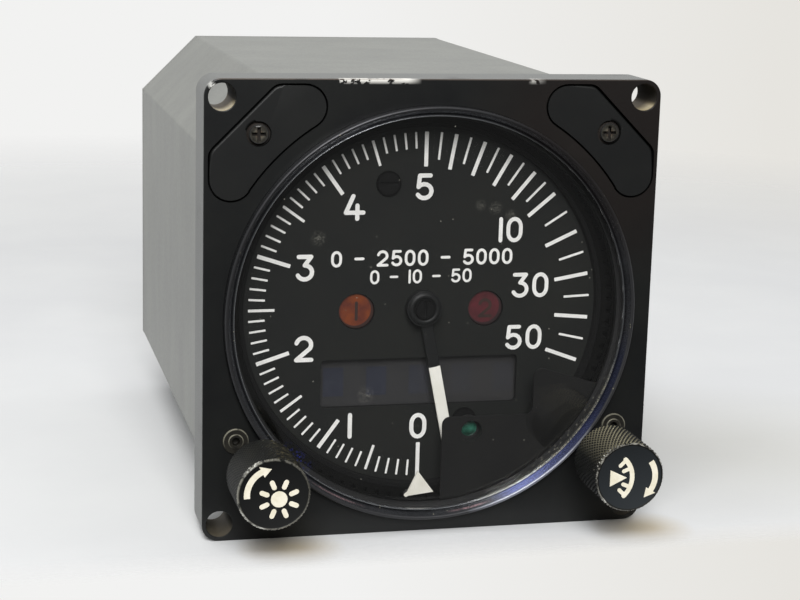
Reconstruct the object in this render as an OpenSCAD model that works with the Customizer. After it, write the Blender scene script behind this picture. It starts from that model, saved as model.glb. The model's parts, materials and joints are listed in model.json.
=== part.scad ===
// Radar altimeter indicator: a square panel flange with a round window, an eight-sided case behind it
// and a geared pointer and limit bug inside.
// Frame: millimetres, X to the right seen from the front, Z up, and the front faces -Y.
// The origin is the middle of the four panel holes, on the rear face of the flange.

/* [Panel flange] */
// Width and height of the square flange
flange_w = 82.5; // [82:0.5:100]
// Thickness of the flange, front to rear
flange_t = 10; // [9.8:0.1:14]
// Radius of the flange's corners
flange_corner_r = 3; // [1:0.5:3]
// Distance between the panel holes, across and up
hole_pitch = 76.2; // [75:0.1:76.6]
// Radius of each panel hole
hole_r = 2.4; // [1.6:0.1:2.5]

/* [Case] */
// Width and height of the case
case_w = 80; // [79:0.5:96]
// Size of the case's corner chamfers
case_chamfer = 12; // [8:0.5:12.5]
// Length of the case's tube
case_len = 98; // [94:1:140]
// Thickness of the case's sheet
case_wall = 1.5; // [1:0.1:1.8]
// Thickness of the rear cover
rear_cover_t = 3; // [2:0.5:5]
// Bevel on the rear cover's edge
rear_bevel = 1; // [0.4:0.1:1.5]

/* [Window] */
// Height of the dial's middle over the flange's middle
dial_z = -1; // [-1.5:0.1:-0.8]
// Radius of the window glass
glass_r = 36.6; // [36:0.1:36.8]
// Thickness of the window glass
glass_t = 2.2; // [1.8:0.1:3]
// How far the glass stands in front of the flange
glass_proud = 0.4; // [0:0.1:0.6]
// How far the bezel ring stands in front of the flange
ring_raise = 2; // [1:0.1:3]
// Thickness of the bezel ring's wall around the glass
ring_wall = 1; // [0.8:0.1:1]
// How far the bezel ring's lip covers the glass
lip_cover = 0.75; // [0.5:0.05:1.5]
// Thickness of the gasket behind the glass
gasket_t = 0.7; // [0.5:0.1:0.8]
// Thickness of the mask behind the glass
mask_t = 0.4; // [0.2:0.1:0.6]

/* [Dial and pointer] */
// Radius of the dial
dial_r = 33.1; // [32.5:0.1:33.2]
// Thickness of the dial
dial_t = 1; // [0.6:0.1:1.2]
// Depth of the dial's face behind the flange's face
dial_depth = 7.7; // [7.5:0.1:7.8]
// Radius of the pointer's shaft
pointer_shaft_r = 1.2; // [0.9:0.1:1.6]
// Radius of the pointer's hub
pointer_hub_r = 3.3; // [2.8:0.1:4]
// Length of the pointer from its axis to its tip
pointer_len = 27.5; // [20:0.5:30]
// Angle of the parked pointer, to the right of straight down
pointer_park = 11.8; // [5:0.1:15]
// Radius of the status lamps' lenses
lamp_r = 3.3; // [2.6:0.1:3.6]
// Distance of each status lamp from the middle
lamp_x = 12.15; // [11:0.05:14]
// Width of the number display's window
display_w = 37.2; // [30:0.1:38]
// Height of the number display's window
display_h = 9; // [7:0.1:9.4]
// Depth of the number display's middle under the dial's axis
display_drop = 14.05; // [13:0.05:14.5]

/* [Limit bug drive] */
// Gear module of the limit bug's ring and its pinion
ring_module = 0.75; // [0.7:0.05:0.75]
// Teeth on the set shaft's pinion
pinion_teeth = 13; // [13:1:13]
// Thickness of the limit bug's ring gear
bug_ring_t = 2; // [1.6:0.1:2]
// Wall between the ring gear's bore and its tooth roots, at the least
bug_ring_wall = 1; // [0.9:0.1:1.1]
// Travel of the set knob when it is pushed
push_travel = 2; // [1:0.1:2]

/* [Knobs] */
// Radius of each knob
knob_r = 6.35; // [5:0.05:6.6]
// Length of each knob
knob_len = 12.2; // [10:0.1:16]
// Gap between the flange and the knobs' undersides
knob_gap = 7.1; // [6.6:0.1:9]
// Distance of each knob to the side of the middle
knob_x = 31.75; // [31.4:0.05:32]
// Radius of the knobs' shafts
knob_shaft_r = 2; // [1.9:0.1:2.4]
// Radius of the bushings that carry the knobs' shafts
bushing_r = 2.9; // [2.6:0.05:2.95]

/* [Servo gears] */
// Gear module of the servo train
servo_module = 0.4; // [0.33:0.01:0.4]
// Teeth on the pointer's gear and on the feedback gear
pointer_teeth = 60; // [60:1:60]
// Teeth on the idler's small pinion
idler_pinion_teeth = 20; // [20:1:20]
// Teeth on the idler's large gear
idler_teeth = 52; // [52:1:52]
// Teeth on the motor's pinion
motor_teeth = 16; // [16:1:16]
// Radius of the servo motor
motor_r = 13.5; // [10:0.5:13.5]
// Length of the servo motor
motor_len = 40; // [30:1:45]
// Radius of the feedback potentiometer
pot_r = 11; // [9:0.5:11.5]
// Length of the feedback potentiometer
pot_len = 18; // [12:1:30]

/* [Rear connector] */
// Height of the connector's middle
connector_z = -12; // [-14:0.5:-11]
// Outer radius of the connector's shell
connector_r = 10.3; // [9.5:0.1:11]
// Wall of the connector's shell
connector_wall = 1.1; // [0.8:0.1:1.5]
// How far the connector's shell stands behind its flange
connector_out = 12.4; // [10:0.2:16]
// Depth of the recess that the mating plug enters
connector_recess = 7; // [5:0.5:9]

/* [Hidden] */
$fn = 96;

// Clearances: a turning fit, a piece in its seat, and air beside a moving piece
run_gap = 0.05;
seat_gap = 0.1;
air_gap = 0.35;

// Places along Y, from the front to the rear
front_y = -flange_t;
glass_y0 = front_y - glass_proud;
glass_y1 = glass_y0 + glass_t;
gasket_y1 = glass_y1 + gasket_t;
mask_y1 = glass_y1 + mask_t;
ledge_t = 0.9;
ledge_y1 = gasket_y1 + ledge_t;
dial_y0 = front_y + dial_depth;
dial_y1 = dial_y0 + dial_t;
bug_ring_y0 = dial_y0 - 1.6;
bug_ring_y1 = bug_ring_y0 + bug_ring_t;
ring_pocket_y0 = bug_ring_y0 - 2 * seat_gap;
carrier_flange_y0 = bug_ring_y1 + seat_gap;
bug_y0 = bug_ring_y0 - 1.8;
bug_t = 0.4;
arm_y0 = dial_y0 - 1.7;
arm_t = 0.5;
hub_y0 = dial_y0 - 2.3;
hub_y1 = dial_y0 - 0.7;
hub_hole_r = pointer_shaft_r + 0.6;
pointer_screw_r = 0.8;
pointer_half_w = 1.1;
pointer_shoulder_half_w = 1.08;
pointer_tip_half_w = 0.35;
pointer_shoulder = pointer_len - 0.85;

// The chassis inside the case
plate_t = 3;
gasket_case_t = 0.4;
case_y0 = gasket_case_t;
case_y1 = case_len;
mid_y0 = 24;
mid_y1 = mid_y0 + plate_t;
rear_y1 = case_y1;
rear_y0 = rear_y1 - plate_t;
inner_w = case_w - 2 * case_wall;
inner_chamfer = case_chamfer - case_wall * (2 - sqrt(2));
chassis_gap = 0.5;
chassis_w = inner_w - 2 * chassis_gap;
chassis_chamfer = inner_chamfer - chassis_gap * (2 - sqrt(2));
post_r = 2.5;
post_x = chassis_w / 2 - 7;
post_z = 17;
spigot_r = 1.5;
chassis_screw_x = 18;
chassis_screw_z = chassis_w / 2 - 2.4;
screw_r = 1.2;

// The window's stack
ring_in_r = glass_r + seat_gap;
ring_out_r = ring_in_r + ring_wall;
ring_skirt = 0.8;
lip_r = glass_r - lip_cover;
gasket_out_r = glass_r - seat_gap;
gasket_in_r = glass_r - 1.1;
ledge_r = glass_r - 1.3;
mask_r = gasket_in_r - seat_gap;

// The limit bug's ring runs on the carrier's rim, outside the dial
rim_in_r = dial_r + seat_gap;
rim_out_r = rim_in_r + 0.75;
bug_ring_bore_r = rim_out_r + run_gap;
ring_teeth = ceil(2 * (bug_ring_bore_r + bug_ring_wall) / ring_module + 2.4);
ring_pitch_r = ring_teeth * ring_module / 2;
pinion_pitch_r = pinion_teeth * ring_module / 2;
addendum = 0.85;
dedendum = 1.2;
ring_tip_r = ring_pitch_r + addendum * ring_module;
pinion_tip_r = pinion_pitch_r + addendum * ring_module;
ring_pocket_r = ring_tip_r + air_gap;
chamber_r = ring_pitch_r + 2 * seat_gap;
pinion_pocket_r = pinion_tip_r + air_gap;
knob_drop = sqrt(pow(ring_pitch_r + pinion_pitch_r, 2) - knob_x * knob_x);
knob_z = dial_z - knob_drop;
pinion_angle = atan2(-knob_drop, knob_x);

// The knobs and their shafts
knob_y1 = front_y - knob_gap;
knob_y0 = knob_y1 - knob_len;
knob_chamfer = 0.45;
shaft_y0 = knob_y1 - 3.4;
bushing_y0 = front_y - (knob_gap - push_travel - 0.9);
bushing_y1 = front_y + 3.4;
pinion_pocket_y0 = bushing_y1 + seat_gap;
pinion_y0 = bushing_y1 + 4 * seat_gap;
pinion_y1 = -push_travel - seat_gap;
journal_r = knob_shaft_r - 0.2;
tail_r = 1.2;
journal_y1 = plate_t + air_gap;
clamp_dx = 3.55;
clamp_dz = 3.94;
clamp_recess_r = 2.35;
clamp_recess_t = 0.8;
clamp_proud = 0.3;
clamp_head_r = 1.35;
clamp_head_t = 0.15;
clamp_screw_r = 1.15;
clamp_bore_r = 0.75;

// The push return behind the set shaft
plunger_r = 3.5;
plunger_y0 = journal_y1 + seat_gap;
plunger_t = 1.8;
clip_y0 = plunger_y0 + plunger_t + seat_gap;
clip_t = 0.5;
tail_y1 = clip_y0 + clip_t + 2;
housing_wall = 1;
housing_r = plunger_r + run_gap + housing_wall;
spring_end_y = tail_y1 + push_travel + 1.6;
housing_y1 = spring_end_y + 1.5;
button_r = 1.4;
switch_w = 6;
switch_y1 = housing_y1 + 6;

// The limit bug seen from the front: the triangle, and its foot on the ring
bug_outline = [[-0.7, -31.3], [-3.02, -36.05], [2.37, -35.43]];
bug_foot_outline = [[-3.02, -36.0], [1.9, -35.5], [1.9, -34.9], [-2.55, -35.3]];

// The servo's places: each gear's middle is [x, z]
dial_c = [0, dial_z];
pointer_pitch_r = pointer_teeth * servo_module / 2;
idler_pinion_pitch_r = idler_pinion_teeth * servo_module / 2;
idler_pitch_r = idler_teeth * servo_module / 2;
motor_pitch_r = motor_teeth * servo_module / 2;
idler_angle = 135;
motor_angle = 225;
pot_angle = 0;
idler_c = dial_c + (pointer_pitch_r + idler_pinion_pitch_r) * [cos(idler_angle), sin(idler_angle)];
motor_c = idler_c + (idler_pitch_r + motor_pitch_r) * [cos(motor_angle), sin(motor_angle)];
pot_c = dial_c + 2 * pointer_pitch_r * [cos(pot_angle), sin(pot_angle)];
small_shaft_r = 1;
pot_shaft_r = 1.5;
gear_a_y0 = 14;
gear_b_y0 = 17.5;
gear_t = 2;
pointer_bush_r = pointer_shaft_r + 1.8;
idler_bush_r = small_shaft_r + 1.8;
motor_boss_r = 5;
pot_boss_r = 4;

// Tooth phases that put each pair in mesh at rest
pointer_phase = 0;
idler_pinion_phase = mesh_phase(idler_angle, pointer_teeth, pointer_phase, idler_pinion_teeth);
idler_phase = 0;
motor_phase = mesh_phase(motor_angle, idler_teeth, idler_phase, motor_teeth);
pot_phase = mesh_phase(pot_angle, pointer_teeth, pointer_phase, pointer_teeth);
ring_phase = 0;
pinion_phase = mesh_phase(pinion_angle, ring_teeth, ring_phase, pinion_teeth);

// The number display
display_z = dial_z - display_drop;
display_lap = 0.9;
display_glass_t = 0.8;
module_w = display_w - 0.8;
module_h = display_h + 0.4;
module_y0 = dial_y1 + display_glass_t + seat_gap;
board_y0 = 5.5;
board_t = 1.6;
display_board_w = display_w + 3.8;
display_board_h = display_h + 7.5;
spacer_x = 17;
spacer_z = display_board_h / 2 - 1.9;
spacer_r = 1.5;

// The status lamps
lamp_z = dial_z - 0.65;
lamp_bulb_r = 2.5;
lamp_recess = 0.5;

// Dial screws: each is [x, z]
dial_screw_places = [[-6.82, 21.8], [8.65, -22.65]];
dial_screw_head_r = 2.3;
dial_screw_r = 1;

// Cover plates over the edge lamps, drawn for the left one and mirrored for the right
cover_t = 2;
cover_groove = 0.35;
cover_end_r = 3.7;
cover_end_1 = [-23.75, 36.4];
cover_end_2 = [-36.5, 23.95];
cover_corner_r = 2.4;
cover_line = 68.8;
cover_screw = [-31.75, 31.75];
cover_screw_head_r = 2.1;
cover_screw_r = 1.4;
cover_screw_seat_y = front_y + 0.9;
lamp_well_r = 2.6;
lamp_well_y1 = -1.5;
edge_lamp_base_y0 = lamp_well_y1 - 2;

// The mask's corners, from the bottom round its step to the right-hand wall
mask_left_x = 3;
mask_low_top_z = -20.5;
mask_step_x = 20.15;
mask_high_top_z = -11.9;
mask_wall_point = [34, -15.6];
mask_hole = [8.6, -23.3];
mask_hole_r = 1.95;
mask_corner_r = 1.4;
mask_cup_wall = 0.4;
mask_lens_y0 = mask_y1 + 1.8;
mask_lens_y1 = mask_lens_y0 + 0.6;

// The circuit boards between the plates
board_half_w = 18;
board_z = chassis_w / 2 - 7;
tab_w = 6;
tab_x = 9;
tab_len = 1.5;
chip_size = [7, 6, 2.2];
chip_pitch = 9;
can_r = 2.4;
can_h = 5;
coil_size = [10, 10, 7];

// The rear fixings and connector
rear_screw_x = 25;
rear_screw_z = 27;
connector_flange_w = 28;
connector_flange_t = 1.6;
connector_screw_pitch = 22;
connector_y0 = rear_y0 - 2;
connector_flange_y0 = case_y1 + rear_cover_t;
connector_flange_y1 = connector_flange_y0 + connector_flange_t;
connector_y1 = connector_flange_y1 + connector_out;
connector_in_r = connector_r - connector_wall;
connector_seat_r = connector_in_r - 0.6;
connector_tail_r = connector_r - 0.3;
connector_screw_r = 1.1;
contact_r = 0.6;
contact_depth = 3;
contact_rings = [[6, 3.2], [12, 6.3]];
insert_y1 = connector_y1 - connector_recess;

// A point at radius r and angle a
function polar(r, a) = r * [cos(a), sin(a)];

// Points of an arc about c, from angle a0 to a1
function arc(c, r, a0, a1, steps = 10) =
    [for (i = [0 : steps]) c + polar(r, a0 + (a1 - a0) * i / steps)];

// The involute function, in degrees
function involute(a) = tan(a) * 180 / PI - a;

// Half the angle that a tooth spans at radius r, thinned for backlash
function half_tooth(r, teeth, m) =
    let (pitch = teeth * m / 2, base = pitch * cos(20))
    90 / teeth + involute(20) - involute(acos(base / max(r, base))) - 0.06 * m / pitch * 180 / PI;

// A gear's outline about the origin, with a tooth's middle at the phase angle
function gear_points(teeth, m, phase) =
    let (pitch = teeth * m / 2, radii = [pitch - dedendum * m, pitch, pitch + addendum * m])
    [for (i = [0 : teeth - 1], side = [-1, 1], step = [0 : 2])
        let (r = radii[side < 0 ? step : 2 - step])
        polar(r, phase + 360 * i / teeth + side * half_tooth(r, teeth, m))];

// The phase that meshes a gear with one already placed, which lies against angle a from it
function mesh_phase(a, teeth_1, phase_1, teeth_2) =
    a + 180 - 360 / teeth_2 * (0.5 - (a - phase_1) * teeth_1 / 360);

// A round bar along Y at c = [x, z]
module bar(r, y0, y1, c = [0, 0])
    translate([c[0], y0, c[1]])
        rotate([-90, 0, 0])
            cylinder(r = r, h = y1 - y0);

// A flat outline, drawn as seen from the front, made solid from y0 to y1
module slab(y0, y1)
    translate([0, y1, 0])
        rotate([90, 0, 0])
            linear_extrude(height = y1 - y0)
                children();

// A turned shape about the axis at c, from outline points [radius, y]
module turned(points, c = dial_c)
    translate([c[0], 0, c[1]])
        rotate([-90, 0, 0])
            rotate_extrude()
                polygon(points);

// A tube along Y
module ring(r_out, r_in, y0, y1, c = dial_c)
    turned([[r_in, y0], [r_out, y0], [r_out, y1], [r_in, y1]], c);

// A box from low to high corner
module block(low, high)
    translate(low)
        cube(high - low);

// A square with round corners
module rounded_square(w, h, r) {
    square([w - 2 * r, h], center = true);
    square([w, h - 2 * r], center = true);
    for (x = [-1, 1], z = [-1, 1])
        translate([x * (w / 2 - r), z * (h / 2 - r)])
            circle(r = r);
}

// An octagon: a square of width w with its corners cut by c
module octagon(w, c)
    polygon([for (p = [[1, 1], [1, -1], [-1, -1], [-1, 1]], k = [0, 1])
        let (first = (p[0] * p[1] > 0) == (k == 0))
        [p[0] * (first ? w / 2 - c : w / 2), p[1] * (first ? w / 2 : w / 2 - c)]]);

// A toothed wheel at c = [x, z]
module gear(teeth, m, y0, y1, c, phase)
    slab(y0, y1)
        translate(c)
            polygon(gear_points(teeth, m, phase));

// The four corner places of a rectangle
module at_corners(x, z)
    for (sx = [-1, 1], sz = [-1, 1])
        translate([sx * x, 0, sz * z])
            children();

// A crossed recess for a screwdriver, as deep as t
module cross_recess(y0, t, size)
    for (a = [0, 90])
        translate([0, y0 + t / 2, 0])
            rotate([0, a, 0])
                cube([size, t, size / 4], center = true);

// The left cover plate's outline, wider all round by grow
module cover_outline(grow)
    let (
        r = cover_end_r + grow,
        corner = cover_corner_r + grow,
        line = cover_line + grow * sqrt(2),
        top = cover_end_1[1] + r,
        side = cover_end_2[0] - r,
        to_1 = cover_end_1 - dial_c,
        to_2 = cover_end_2 - dial_c,
        angle_1 = atan2(to_1[1], to_1[0]),
        angle_2 = atan2(to_2[1], to_2[0]),
        inner_r = norm(to_1) - r
    )
    polygon(concat(
        arc(cover_end_1, r, angle_1 - 180, 90, 14),
        arc([top - line + corner * (sqrt(2) - 1), top - corner], corner, 90, 135, 4),
        arc([side + corner, side + line - corner * (sqrt(2) - 1)], corner, 135, 180, 4),
        arc(cover_end_2, r, 180, angle_2 + 180, 14),
        arc(dial_c, inner_r, angle_2, angle_1, 12)
    ));

// The mask's outline before the window trims it
module mask_outline()
    let (c = mask_corner_r)
    polygon(concat(
        [[mask_left_x, -50]],
        arc([mask_left_x + c, mask_low_top_z - c], c, 180, 90, 6),
        arc([mask_step_x - c, mask_low_top_z + c], c, -90, 0, 6),
        arc([mask_step_x + c, mask_high_top_z - c], c, 180, 74, 6),
        [mask_wall_point, [50, -20], [50, -50]]
    ));

// The square flange that holds the window, the lamps and the knobs
module bezel()
    color("#1d1d1f")
        difference() {
            slab(front_y, 0)
                rounded_square(flange_w, flange_w, flange_corner_r);
            at_corners(hole_pitch / 2, hole_pitch / 2)
                bar(hole_r, front_y - 1, 1);
            turned([[0, front_y - 1], [ring_out_r + run_gap, front_y - 1],
                [ring_out_r + run_gap, front_y + ring_skirt], [glass_r + run_gap, front_y + ring_skirt],
                [glass_r + run_gap, gasket_y1], [ledge_r, gasket_y1], [ledge_r, ledge_y1],
                [chamber_r, ledge_y1], [chamber_r, ring_pocket_y0], [ring_pocket_r, ring_pocket_y0],
                [ring_pocket_r, 1], [0, 1]]);
            for (side = [0, 1])
                mirror([side, 0, 0]) {
                    slab(front_y - 1, front_y + cover_t)
                        cover_outline(cover_groove);
                    bar(cover_screw_r + run_gap, front_y, front_y + 6.2, cover_screw);
                    for (c = [cover_end_1, cover_end_2]) {
                        bar(lamp_well_r, front_y, lamp_well_y1, c);
                        light_port(c);
                    }
                    bar(bushing_r + run_gap / 2, front_y - 1, pinion_pocket_y0 + 1, [knob_x, knob_z]);
                    bar(clamp_recess_r, front_y - 1, front_y + clamp_recess_t,
                        [knob_x + clamp_dx, knob_z + clamp_dz]);
                    bar(screw_r + run_gap, front_y, front_y + 3.2, [knob_x + clamp_dx, knob_z + clamp_dz]);
                }
            bar(pinion_pocket_r, pinion_pocket_y0, 1, [knob_x, knob_z]);
            bar(journal_r + 3 * run_gap, pinion_pocket_y0, 1, [-knob_x, knob_z]);
            at_corners(chassis_screw_x, chassis_screw_z)
                bar(screw_r + run_gap, -3.6, 1);
        }

// A port that lets an edge lamp at c shine into the window
module light_port(c)
    let (to = c - dial_c)
    translate([0, (ledge_y1 + ring_pocket_y0) / 2, dial_z])
        rotate([0, atan2(to[0], to[1]), 0])
            translate([0, 0, chamber_r - 2])
                cylinder(r = 0.9, h = norm(to) - chamber_r + 2);

// The raised ring that keeps the glass in
module bezel_ring()
    color("#3a3a3e")
        turned([[ring_in_r, front_y + ring_skirt], [ring_in_r, glass_y0], [lip_r, glass_y0],
            [lip_r, glass_y0 - 0.25], [ring_out_r - 0.6, front_y - ring_raise],
            [ring_out_r - 0.3, front_y - ring_raise], [ring_out_r, front_y - ring_raise + 0.3],
            [ring_out_r, front_y + ring_skirt]]);

module window_glass()
    color("#c8d2d6", 0.25)
        bar(glass_r, glass_y0, glass_y1, dial_c);

module window_gasket()
    color("#111112")
        ring(gasket_out_r, gasket_in_r, glass_y1, gasket_y1);

// The dark mask bonded behind the glass, over the bottom right of the dial
module window_mask()
    color("#242426")
        slab(glass_y1, mask_y1)
            difference() {
                intersection() {
                    translate(dial_c)
                        circle(r = mask_r);
                    mask_outline();
                }
                translate(mask_hole)
                    circle(r = mask_hole_r);
            }

// The green lens at the bottom of a short cup behind the mask's hole
module mask_lens()
    color("#1f7a55")
        difference() {
            bar(mask_hole_r + mask_cup_wall, mask_y1, mask_lens_y1, mask_hole);
            bar(mask_hole_r, mask_y1 - 1, mask_lens_y0, mask_hole);
        }

// A cover plate over two edge lamps
module cover_plate()
    difference() {
        slab(front_y, front_y + cover_t)
            cover_outline(0);
        bar(cover_screw_head_r + seat_gap, front_y - 1, cover_screw_seat_y, cover_screw);
        bar(cover_screw_r + seat_gap, front_y, front_y + cover_t + 1, cover_screw);
    }

module cover_left()
    color("#1b1b1d")
        cover_plate();

module cover_right()
    color("#1b1b1d")
        mirror([1, 0, 0])
            cover_plate();

module cover_screws()
    color("#4a4640")
        for (side = [0, 1])
            mirror([side, 0, 0])
                difference() {
                    union() {
                        bar(cover_screw_head_r, front_y - 0.15, cover_screw_seat_y, cover_screw);
                        bar(cover_screw_r, cover_screw_seat_y, front_y + 6, cover_screw);
                    }
                    translate([cover_screw[0], 0, cover_screw[1]])
                        cross_recess(front_y - 0.2, 0.8, 2.4);
                }

// The small hollow clamp screw beside each knob, with its collar
module bushing_screws()
    color("#6b645a")
        for (side = [-1, 1])
            translate([side * (knob_x + clamp_dx), 0, knob_z + clamp_dz])
                difference() {
                    union() {
                        bar(clamp_head_r, front_y - clamp_proud - clamp_head_t, front_y);
                        bar(clamp_recess_r - run_gap, front_y - clamp_proud, front_y + clamp_recess_t);
                        bar(clamp_screw_r, front_y, front_y + 3);
                    }
                    bar(clamp_bore_r, front_y - 1, front_y + 1.2);
                }

// Four small bulbs under the cover plates
module edge_lamps()
    color("#d9cfae")
        for (side = [0, 1])
            mirror([side, 0, 0])
                for (c = [cover_end_1, cover_end_2]) {
                    bar(2.2, edge_lamp_base_y0, lamp_well_y1, c);
                    bar(1.7, front_y + cover_t + 1.5, edge_lamp_base_y0, c);
                }

// The ring gear that carries the limit bug round the dial
module bug_ring()
    color("#2a2a2c")
        difference() {
            gear(ring_teeth, ring_module, bug_ring_y0, bug_ring_y1, dial_c, ring_phase);
            bar(bug_ring_bore_r, bug_ring_y0 - 1, bug_ring_y1 + 1, dial_c);
        }

// The white triangle with its foot on the ring gear
module bug()
    color("#e9e7df")
        difference() {
            union() {
                slab(bug_y0, bug_y0 + bug_t)
                    polygon(bug_outline);
                slab(bug_y0 + bug_t, bug_ring_y0)
                    polygon(bug_foot_outline);
            }
            ring(chamber_r + 5, chamber_r - air_gap, bug_y0 - 1, bug_ring_y0);
        }

// The plate that carries the dial and the limit bug's ring
module dial_carrier()
    color("#18181a")
        difference() {
            turned([[0, dial_y1], [rim_in_r, dial_y1], [rim_in_r, bug_ring_y0], [rim_out_r, bug_ring_y0],
                [rim_out_r, carrier_flange_y0], [ring_pocket_r - seat_gap, carrier_flange_y0],
                [ring_pocket_r - seat_gap, 0], [0, 0]]);
            bar(pinion_pocket_r, carrier_flange_y0 - 1, 1, [knob_x, knob_z]);
            block([-display_w / 2 - display_lap - seat_gap, dial_y1 - 1, display_z - display_h / 2 - 0.9],
                [display_w / 2 + display_lap + seat_gap, 1, display_z + display_h / 2 + 0.9]);
            for (x = [-lamp_x, lamp_x])
                bar(lamp_r + run_gap, dial_y1 - 1, 1, [x, lamp_z]);
            bar(hub_hole_r, dial_y1 - 1, 1, dial_c);
            for (c = dial_screw_places)
                bar(dial_screw_r + run_gap, dial_y1 - 1, 1, c);
        }

module dial()
    color("#141416")
        slab(dial_y0, dial_y1)
            difference() {
                translate(dial_c)
                    circle(r = dial_r);
                translate([0, display_z])
                    rounded_square(display_w, display_h, 0.8);
                for (x = [-lamp_x, lamp_x])
                    translate([x, lamp_z])
                        circle(r = lamp_r + run_gap);
                translate(dial_c)
                    circle(r = hub_hole_r);
                for (c = dial_screw_places)
                    translate(c)
                        circle(r = dial_screw_r + run_gap);
            }

module dial_screws()
    color("#0f0f10")
        for (c = dial_screw_places)
            difference() {
                union() {
                    bar(dial_screw_head_r, dial_y0 - 0.4, dial_y0, c);
                    bar(dial_screw_r, dial_y0, plate_t - 0.5, c);
                }
                translate([c[0], dial_y0 - 0.3, c[1]])
                    cube([3.4, 0.4, 0.5], center = true);
            }

// The pointer: a hub and a flat arm that narrows to its tip
module pointer()
    color("#e9e7df")
        translate([0, 0, dial_z])
            rotate([0, -pointer_park, 0])
                difference() {
                    union() {
                        bar(pointer_hub_r, hub_y0, hub_y1);
                        slab(arm_y0, arm_y0 + arm_t)
                            polygon([[-pointer_half_w, 0], [-pointer_shoulder_half_w, -pointer_shoulder],
                                [-pointer_tip_half_w, -pointer_len], [pointer_tip_half_w, -pointer_len],
                                [pointer_shoulder_half_w, -pointer_shoulder], [pointer_half_w, 0]]);
                    }
                    bar(pointer_shaft_r + run_gap / 2, hub_y0 + 0.5, hub_y1 + 1);
                    bar(pointer_screw_r + run_gap, hub_y0 - 1, hub_y1);
                }

module pointer_screw()
    color("#161617")
        difference() {
            union() {
                bar(1.9, hub_y0 - 0.5, hub_y0, dial_c);
                bar(pointer_screw_r, hub_y0, hub_y0 + 2.5, dial_c);
            }
            translate([0, hub_y0 - 0.4, dial_z])
                cube([0.5, 0.5, 3], center = true);
        }

module pointer_shaft()
    color("#9a9a98")
        difference() {
            bar(pointer_shaft_r, hub_y0 + 0.55, mid_y1 + 0.4, dial_c);
            bar(pointer_screw_r + run_gap, hub_y0, hub_y0 + 3, dial_c);
        }

// Flanged bushes for the pointer's shaft and the idler, in the front and middle plates
module shaft_bearings()
    color("#b08a3e")
        for (y = [0, mid_y0]) {
            ring(pointer_bush_r, pointer_shaft_r + run_gap, y, y + plate_t, dial_c);
            ring(idler_bush_r, small_shaft_r + run_gap, y, y + plate_t, idler_c);
        }

module pointer_gear()
    color("#b08a3e")
        difference() {
            union() {
                gear(pointer_teeth, servo_module, gear_a_y0, gear_a_y0 + gear_t, dial_c, pointer_phase);
                bar(3, gear_a_y0 + gear_t, gear_a_y0 + gear_t + 1.3, dial_c);
            }
            bar(pointer_shaft_r + run_gap / 2, gear_a_y0 - 1, gear_b_y0 + 1, dial_c);
        }

// The idler's shaft with its small pinion cut on it
module idler_pinion()
    color("#9a9a98") {
        gear(idler_pinion_teeth, servo_module, gear_a_y0 - 0.5, gear_b_y0, idler_c, idler_pinion_phase);
        bar(small_shaft_r, 0.4, mid_y1 - 0.4, idler_c);
    }

module idler_gear()
    color("#b08a3e")
        difference() {
            union() {
                gear(idler_teeth, servo_module, gear_b_y0, gear_b_y0 + gear_t, idler_c, idler_phase);
                bar(2.5, gear_b_y0 + gear_t, gear_b_y0 + gear_t + 1.5, idler_c);
            }
            bar(small_shaft_r + run_gap / 2, gear_b_y0 - 1, mid_y0, idler_c);
        }

// The motor's shaft with its pinion cut on it
module motor_pinion()
    color("#9a9a98") {
        gear(motor_teeth, servo_module, gear_b_y0 - 0.5, gear_b_y0 + gear_t + 0.5, motor_c, motor_phase);
        bar(small_shaft_r, gear_b_y0 - 0.5, mid_y1 + 4, motor_c);
    }

module servo_motor()
    color("#8d8f8c")
        difference() {
            union() {
                bar(motor_boss_r, mid_y0, mid_y1, motor_c);
                bar(motor_r, mid_y1, mid_y1 + motor_len, motor_c);
                bar(motor_r - 3, mid_y1 + motor_len, mid_y1 + motor_len + 2, motor_c);
            }
            bar(small_shaft_r + run_gap, mid_y0 - 1, mid_y1 + 5, motor_c);
        }

module feedback_pot()
    color("#30415f")
        difference() {
            union() {
                bar(pot_boss_r, mid_y0, mid_y1, pot_c);
                bar(pot_r, mid_y1, mid_y1 + pot_len, pot_c);
            }
            bar(pot_shaft_r + run_gap, mid_y0 - 1, mid_y1 + 6, pot_c);
        }

// The feedback gear on the potentiometer's shaft
module pot_gear()
    color("#b08a3e") {
        gear(pointer_teeth, servo_module, gear_a_y0, gear_a_y0 + gear_t, pot_c, pot_phase);
        bar(3, gear_a_y0 + gear_t, gear_a_y0 + gear_t + 2, pot_c);
        bar(pot_shaft_r, gear_a_y0 - 1, mid_y1 + 5, pot_c);
    }

// A chassis plate's outline
module chassis_outline()
    octagon(chassis_w, chassis_chamfer);

module front_plate()
    color("#a9abad")
        difference() {
            union() {
                slab(0, plate_t)
                    chassis_outline();
                for (x = [-spacer_x, spacer_x], z = [-spacer_z, spacer_z])
                    bar(spacer_r, plate_t, board_y0, [x, display_z + z]);
            }
            block([-module_w / 2 - seat_gap, -1, display_z - module_h / 2 - seat_gap],
                [module_w / 2 + seat_gap, board_y0, display_z + module_h / 2 + seat_gap]);
            for (x = [-lamp_x, lamp_x])
                bar(lamp_bulb_r + run_gap, -1, plate_t + 1, [x, lamp_z]);
            bar(pointer_bush_r + run_gap / 2, -1, plate_t + 1, dial_c);
            bar(idler_bush_r + run_gap / 2, -1, plate_t + 1, idler_c);
            for (c = dial_screw_places)
                bar(dial_screw_r + run_gap, -1, plate_t + 1, c);
            for (x = [-knob_x, knob_x])
                bar(journal_r + run_gap, -1, plate_t + 1, [x, knob_z]);
            at_corners(chassis_screw_x, chassis_screw_z)
                bar(screw_r + run_gap, -1, plate_t + 1);
            at_corners(post_x, post_z)
                bar(spigot_r + run_gap / 2, -1, plate_t + 1);
        }

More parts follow.
